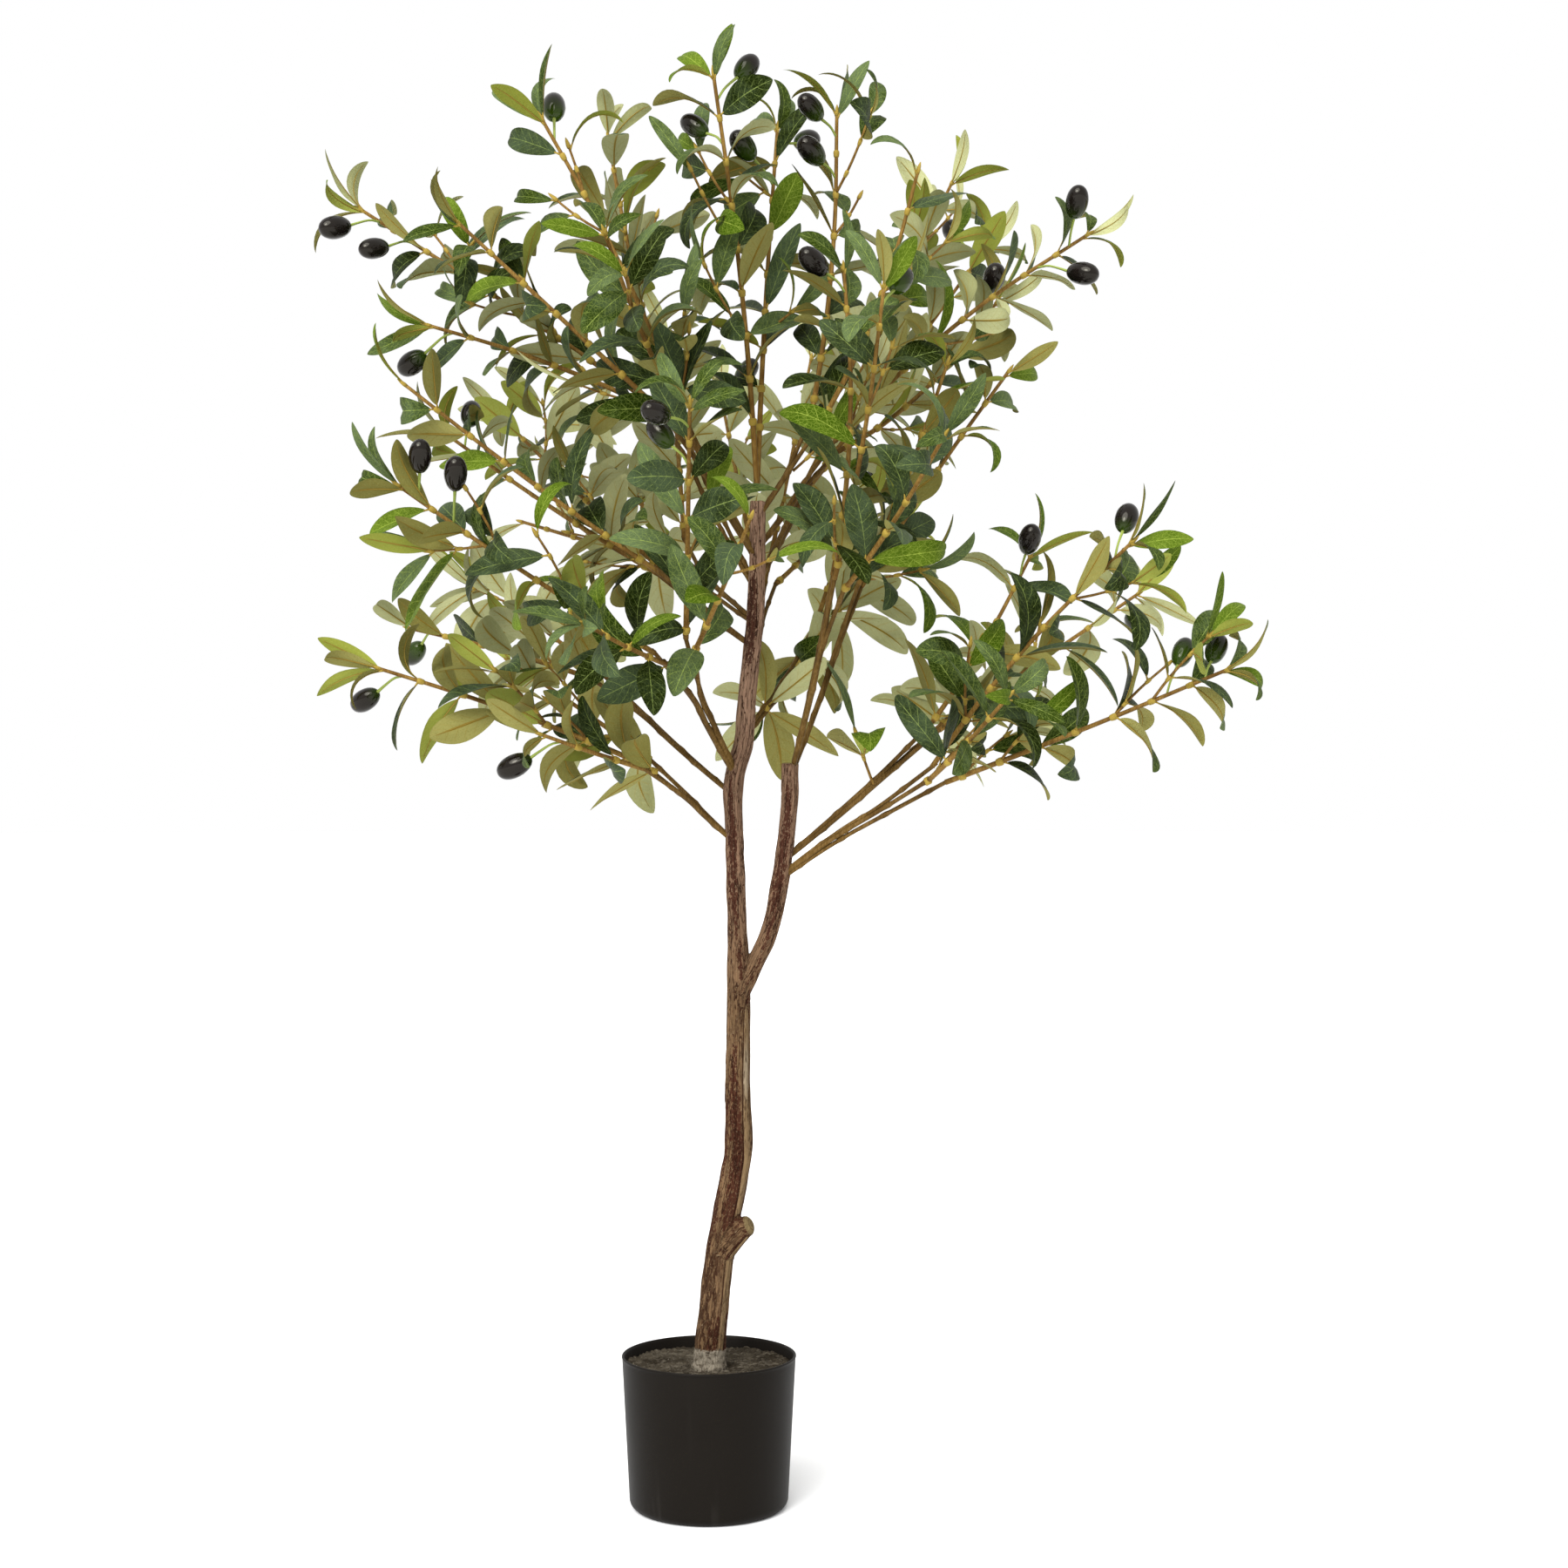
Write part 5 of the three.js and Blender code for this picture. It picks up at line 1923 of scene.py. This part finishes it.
def bark_finish():
    finish = Finish("bark", 0.78, Specular_IOR_Level=0.03)
    grain = finish.attribute("grain", "Vector")
    off = finish.attribute("off")
    ridge = off.smooth(1, 0.85)
    height = finish.parts_of(finish.place())[2]
    broad = along_grain(finish, grain, (0.1, 0.1, 0.02)).smooth(0.35, 0.65)
    tan = finish.mix(broad, DEEP_TAN, LIGHT_TAN)
    rosy = finish.mix(height.smooth(*ROSY_COMES), tan, ROSY_TAN)
    # The bark is paler still on the upper trunk, between 0.62 and 0.7 m
    paler_top = finish.mix(height.smooth(*PALE_TOP_COMES), rosy, PALE_TOP_TAN)
    khaki = finish.mix(ridge * 0.7, paler_top, RIDGE_KHAKI)
    rubbed = ridge * height.smooth(*RUBBED_COMES) * height.smooth(*RUBBED_GOES)
    worn = finish.mix(rubbed * 0.45, khaki, RUBBED_WHITE)
    fibres = along_grain(finish, grain, (1, 1, 0.07)).smooth(0.44, 0.64)
    browned = finish.mix(fibres * 0.5, worn, FIBRE_BROWN)
    speckle = along_grain(finish, grain, (0.5, 0.5, 0.2), 4, 0.75)
    washed = (finish.attribute("stain") + (speckle - 0.5) * 4).smooth(0.5, 0.8)
    maroon = finish.mix(washed * (1 - ridge) * 0.9, browned, WASH_MAROON)
    hair = along_grain(finish, grain, (0.45, 0.45, 0.035))
    hairlines = abs(hair - 0.5).smooth(0.03, 0.01)
    lined = finish.mix(hairlines * 0.6, maroon, HAIRLINE_BROWN)
    warped = finish.warped(finish.stretched(grain, (0.19, 0.19, 0.05)), 2, 0.8)
    left = finish.parts_of(grain)[0].smooth(7, -2) * 0.9
    worms = finish.cells(warped, 1).smooth(0.15, 0.06) * height.smooth(*WORMS_GO) * left
    seams = abs(finish.attribute("seam")).smooth(0.06, 0.02)
    edges = abs(off - RIDGE_GROOVE).smooth(0.2, 0.08)
    cracks = (worms.larger(seams) * (1 - ridge)).larger(edges)
    split = finish.mix(cracks * 0.85, lined, CRACK_DARK)
    flecks = along_grain(finish, grain, (0.8, 0.8, 0.5), 2, 0.7).smooth(0.6, 0.68)
    flecked = finish.mix(flecks * 0.5, split, FLECK_TAN)
    from_middle = finish.attribute("sawn")
    rings = abs((from_middle * 0.4 + speckle * 0.5).wrapped() - 0.5).smooth(0.2, 0.05)
    face = finish.mix(rings * 0.6, SAWN_TAN, RING_BROWN)
    sawn_end = finish.mix(from_middle.smooth(0, 0.1), flecked, face)
    grit = finish.cloud(finish.place(), 240, 4, 0.75)
    grey = finish.mix(grit.smooth(0.36, 0.56), SMEAR_DEEP, SMEAR_LIGHT)
    smear = finish.attribute("smear").smooth(0.5, -0.5)
    finish.wear(Base_Color=finish.mix(smear, sawn_end, grey))
    finish.raised(speckle * 0.7 - cracks * 0.6 - hairlines * 0.5 + grit * 0.5, 0.8, 0.0012)
    return finish.material


bark = bark_finish()
trunk_skin.materials.append(bark)
trunk_skin.shade_smooth()
trunk = bpy.data.objects.new("trunk_bark", trunk_skin)
bpy.context.scene.collection.objects.link(trunk)
dress(trunk, ["trunk", "side_stem"])

# %% [markdown]
# Boughs
#
# The sprays of a real bough are bought ready made, each on its own long wire, and the wires run
# side by side from the trunk to where the leaves begin. So a bough is drawn as its wires, which
# part from each other a little sooner than the solid does, in a darker shade of the twigs'
# plastic. Each has a small knuckle every four centimetres, where a leaf peg was left empty.

# %% Boughs
BOUGH_TAN = (0.143, 0.084, 0.027)
BOUGH_BROWN = (0.09, 0.049, 0.011)
BOUGH_RUST = (0.043, 0.021, 0.005)
WIRE_SIDES = 10
WIRE_STEP = 3
WIRE_RADIUS = 1.85
WIRE_SPREAD_AT_ROOT = 1.6
WIRE_SPREAD_AT_TIP = 5
WIRE_SHARES = (0, 0.2, 0.4, 0.6, 0.86)
WIRE_OVERLAP = 3
KNUCKLE_SPACING = 41
KNUCKLE_SHIFT = 17
KNUCKLE_LENGTH = 3
KNUCKLE_SWELL = 0.35

bough_wires = Pile("boughs")


def wire_radius(distance, number):
    """The wire's radius with its knuckles, which are shifted from one wire to the next."""
    knuckle = (distance + KNUCKLE_SHIFT * number) % KNUCKLE_SPACING - KNUCKLE_SPACING / 2
    return WIRE_RADIUS * (1 + KNUCKLE_SWELL * math.exp(-((knuckle / KNUCKLE_LENGTH) ** 2)))


def add_wire(bough, number):
    """The wire of one spray: beside the bough's line, on the spray's side, then off to it."""
    stem = rounded(bough.sprays[number][0], FINE_STEPS)
    along = direction_at(bough.whole, bough.length)
    apart = direction_at(stem, WIRE_JOINT)
    apart = (apart - along * apart.dot(along)).normalized()
    coarse = []
    for share in WIRE_SHARES:
        spread = WIRE_SPREAD_AT_ROOT + (WIRE_SPREAD_AT_TIP - WIRE_SPREAD_AT_ROOT) * share
        coarse.append(point_at(bough.whole, bough.length * share) + apart * spread)
    coarse.append(point_at(stem, WIRE_JOINT))
    coarse.append(point_at(stem, WIRE_JOINT + WIRE_OVERLAP))
    length = line_length(coarse)
    steps = round(length / WIRE_STEP)
    radii = [wire_radius(length * i / steps, number) for i in range(steps + 1)]
    add_tube(bough_wires, rounded(coarse, steps), radii, WIRE_SIDES)


for bough in boughs:
    if bough.length:
        for number in range(len(bough.sprays)):
            add_wire(bough, number)
bough_plastic = twig_finish("bough", BOUGH_TAN, BOUGH_BROWN, BOUGH_RUST)
bough_wires.make(bough_plastic, "stem", bough_nodes)

# %% [markdown]
# The pot
#
# A nursery pot is moulded from black plastic: a thin wall with hardly any taper, a generous round
# where it meets the foot, and a small bead at the rim. It is turned from its outline, with many
# more sides than the solid has, so its edges read as true circles. The plastic is matt, with a
# faint moulding grain and the scuffs of handling low down.

# %% Turned shapes


def turned_rows(outline, sides):
    """Rings of points about the pot's axis, one for each point of the outline."""
    rows = []
    flats = []
    angles = [2 * math.pi * i / sides for i in range(sides)]
    for radius, height in outline:
        rows.append([Vector((radius * math.cos(a), radius * math.sin(a), height)) for a in angles])
        flats.append([(i / sides, height * MM) for i in range(sides)])
    return rows, flats


def arc(centre, radius, start, end, steps):
    """Points of a round, from one angle to another in degrees."""
    turns = [math.radians(start + (end - start) * step / steps) for step in range(steps + 1)]
    return [(centre[0] + radius * math.cos(t), centre[1] + radius * math.sin(t)) for t in turns]


# %% The pot's outline
POT_HEIGHT = 129
POT_TOP_RADIUS = 74.2
POT_FOOT_RADIUS = 67.5
POT_WALL = 1.6
POT_FLOOR = 3
POT_FOOT_ROUND = 8
POT_FOOT_STEPS = 10
POT_MIDDLE = 2
WALL_SHARES = (0.12, 0.3, 0.5, 0.7, 0.88, 1)

# The bead is a round of 1.1 mm that stands 0.5 mm out of the wall
BEAD_STANDS_OUT = 0.5
BEAD_RADIUS = 1.1
BEAD_BELOW_TOP = 1.3
BEAD_STEPS = 8
WALL_BELOW_TOP = 4.2

# Inside, the wall is set in by a little more than its thickness, and by 1 mm more below the rim
RIM_SET_IN = 0.9
RIM_EDGE_BELOW_TOP = 2.5
INSIDE_SET_IN = 1
INSIDE_BELOW_TOP = 20


def pot_outline():
    wall_top = (POT_TOP_RADIUS - BEAD_STANDS_OUT, POT_HEIGHT - WALL_BELOW_TOP)
    round_middle = (POT_FOOT_RADIUS - POT_FOOT_ROUND, POT_FOOT_ROUND)
    foot = arc(round_middle, POT_FOOT_ROUND, -90, 0, POT_FOOT_STEPS)
    wall = [
        (POT_FOOT_RADIUS + (wall_top[0] - POT_FOOT_RADIUS) * share,
         POT_FOOT_ROUND + (wall_top[1] - POT_FOOT_ROUND) * share)
        for share in WALL_SHARES
    ]
    bead_middle = (POT_TOP_RADIUS - BEAD_RADIUS, POT_HEIGHT - BEAD_BELOW_TOP)
    bead = arc(bead_middle, BEAD_RADIUS, -60, 120, BEAD_STEPS)
    inner_top = POT_TOP_RADIUS - POT_WALL - RIM_SET_IN
    inner_foot = POT_FOOT_RADIUS - POT_WALL
    inside = [
        (inner_top, POT_HEIGHT - RIM_EDGE_BELOW_TOP),
        (inner_top - INSIDE_SET_IN, POT_HEIGHT - INSIDE_BELOW_TOP),
        (inner_foot - INSIDE_SET_IN, POT_FOOT_ROUND),
        (inner_foot - POT_FOOT_ROUND, POT_FLOOR),
        (POT_MIDDLE, POT_FLOOR),
    ]
    return [(POT_MIDDLE, 0), *foot, *wall, *bead, *inside]


print("pot outline points", len(pot_outline()))

# %% Pot
POT_SIDES = 160
POT_BLACK = (0.004, 0.003, 0.0021)
POT_WORN_BLACK = (0.006, 0.0048, 0.0036)
SCUFF_GREY = (0.036, 0.033, 0.029)
UPRIGHT_SCUFFS = (60, 60, 8)


def pot_finish():
    """Matt black, dulled in clouds, with upright scuffs that are plainer near the foot."""
    finish = Finish("pot plastic", 0.5, Specular_IOR_Level=0.085, Specular_Tint=(1, 0.93, 0.86))
    place = finish.place()
    height = finish.parts_of(place)[2]
    clouds = finish.cloud(place, 14, 3)
    scuffs = finish.cloud(finish.stretched(place, UPRIGHT_SCUFFS), 1, 3).smooth(0.56, 0.75)
    low = height.smooth(0.06, 0.0)
    black = finish.mix(clouds, POT_BLACK, POT_WORN_BLACK)
    finish.wear(Base_Color=finish.mix(scuffs * (low * 0.2 + 0.03), black, SCUFF_GREY))
    finish.wear(Roughness=clouds * 0.12 + 0.44)
    finish.raised(finish.cloud(place, 1400, 2) + clouds * 2, 0.2, 0.0006)
    return finish.material


pot = Pile("nursery_pot")
pot.add_grid(*turned_rows(pot_outline(), POT_SIDES), closed=True, capped=True)
pot.make(pot_finish(), "pot", ["pot"])

# %% [markdown]
# The cement
#
# The cement was poured, and it set rough: a shallow crater round the trunk, a little drawn up
# the pot's wall, with trowel drags and pits. A polar grid is fine enough for the lumps, and the
# grit is left to the finish.

# %% The cement's surface
FILLING_TOP = 120
FILLING_RADIUS = 71.4
FILLING_SIDE = 12
CEMENT_SUNK = 2.2
CEMENT_RINGS = 100
CEMENT_SIDES = 300
CEMENT_LUMPS = 1.6
CEMENT_DRAGS = 1.1
CEMENT_CRUMBS = 1.1
CEMENT_GRIT = 0.6
CRATER_RADIUS = 17
CRATER_REACH = 3.5
CRATER_DEPTH = 2.2
LIP_HEIGHT = 1.2
LIP_NARROWNESS = 12
INNER_RING = 1
INNER_RING_BELOW = 0.02


def cement_height(x, y):
    """Broad lumps, drags, crumbs and grit, a crater round the trunk and a lip at the wall."""
    away = math.hypot(x, y) / FILLING_RADIUS
    height = noise.noise((x * 0.05, y * 0.05, 3)) * CEMENT_LUMPS
    height += abs(noise.noise((x * 0.11, y * 0.16, 8))) * CEMENT_DRAGS
    height += eased(noise.noise((x * 0.3, y * 0.3, 5)), -0.1, 0.25) * CEMENT_CRUMBS
    height += noise.noise((x * 0.8, y * 0.8, 2)) * CEMENT_GRIT
    trunk_x, trunk_y = TRUNK_STATIONS[0][1:3]
    near_trunk = math.hypot(x - trunk_x, y - trunk_y)
    crater = CRATER_DEPTH * math.exp(-((near_trunk - CRATER_RADIUS) / CRATER_REACH) ** 2)
    return FILLING_TOP - CEMENT_SUNK + height - crater + LIP_HEIGHT * away ** LIP_NARROWNESS


def cement_rows():
    """Rings from the middle to the wall, one more for the side, and the underside's last ring."""
    rows = []
    for step in range(CEMENT_RINGS + 1):
        radius = INNER_RING + (FILLING_RADIUS - INNER_RING) * step / CEMENT_RINGS
        points = []
        for i in range(CEMENT_SIDES):
            turn = -2 * math.pi * i / CEMENT_SIDES
            x, y = radius * math.cos(turn), radius * math.sin(turn)
            points.append(Vector((x, y, cement_height(x, y))))
        rows.append(points)
    lowest = FILLING_TOP - FILLING_SIDE
    for share in (1, INNER_RING_BELOW):
        rows.append([Vector((point.x * share, point.y * share, lowest)) for point in rows[-1]])
    flats = [[(point.x * MM, point.y * MM) for point in row] for row in rows]
    return rows, flats


print("cement at the wall", round(cement_height(FILLING_RADIUS, 0), 1), "mm high")

# %% Cement
CEMENT_DEEP = (0.022, 0.017, 0.011)
CEMENT_GREY = (0.062, 0.051, 0.036)
CEMENT_DUST = (0.115, 0.098, 0.073)
LIGHT_GRAIN = (0.2, 0.178, 0.14)
# The near-black of the pits is painted shade in the holes
PIT_SHADE_DARK = (0.01, 0.007, 0.005)
TROWEL_DRAGS = (50, 240, 50)


def cement_finish():
    finish = Finish("cement", 0.92, Specular_IOR_Level=0.03)
    place = finish.place()
    broad = finish.cloud(place, 38, 4)
    drags = finish.cloud(finish.stretched(place, TROWEL_DRAGS), 1, 4)
    grains = finish.cloud(place, 330, 4, 0.8)
    grey = finish.mix(broad.smooth(0.35, 0.65), CEMENT_DEEP, CEMENT_GREY)
    dusty = finish.mix(drags.smooth(0.48, 0.66) * 0.75, grey, CEMENT_DUST)
    light = finish.mix(grains.smooth(0.6, 0.68) * 0.7, dusty, LIGHT_GRAIN)
    # The low spots of the grain noise, sunk by the relief, are painted near black as shade in pits
    finish.wear(Base_Color=finish.mix(grains.smooth(0.44, 0.34) * 0.6, light, PIT_SHADE_DARK))
    finish.raised(grains + drags * 0.8, 1, 0.002)
    return finish.material


cement = Pile("cement")
cement.add_grid(*cement_rows(), closed=True, capped=True)
cement.make(cement_finish(), "cement", ["pot_filling"])

# %% [markdown]
# The floor
#
# The floor is a wide disc, pale enough to burn out to white under the studio's light except where
# the pot shades it.

# %% Floor
FLOOR_RADIUS = 30000
FLOOR_SIDES = 64
FLOOR_WHITE = (0.88, 0.88, 0.88)
FLOOR_BRIGHT = (0.92, 0.92, 0.92)

floor_rows, _ = turned_rows([(FLOOR_RADIUS, 0)], FLOOR_SIDES)
floor_points = [(point * MM).to_tuple() for point in floor_rows[0]]
floor_mesh = bpy.data.meshes.new("floor")
floor_mesh.from_pydata(floor_points, [], [list(range(FLOOR_SIDES))])
floor = bpy.data.objects.new("floor", floor_mesh)
floor_paint = Finish("floor paint", 0.9)
floor_clouds = floor_paint.cloud(floor_paint.place(), 3)
floor_paint.wear(Base_Color=floor_paint.mix(floor_clouds, FLOOR_WHITE, FLOOR_BRIGHT))
floor_mesh.materials.append(floor_paint.material)
bpy.context.scene.collection.objects.link(floor)
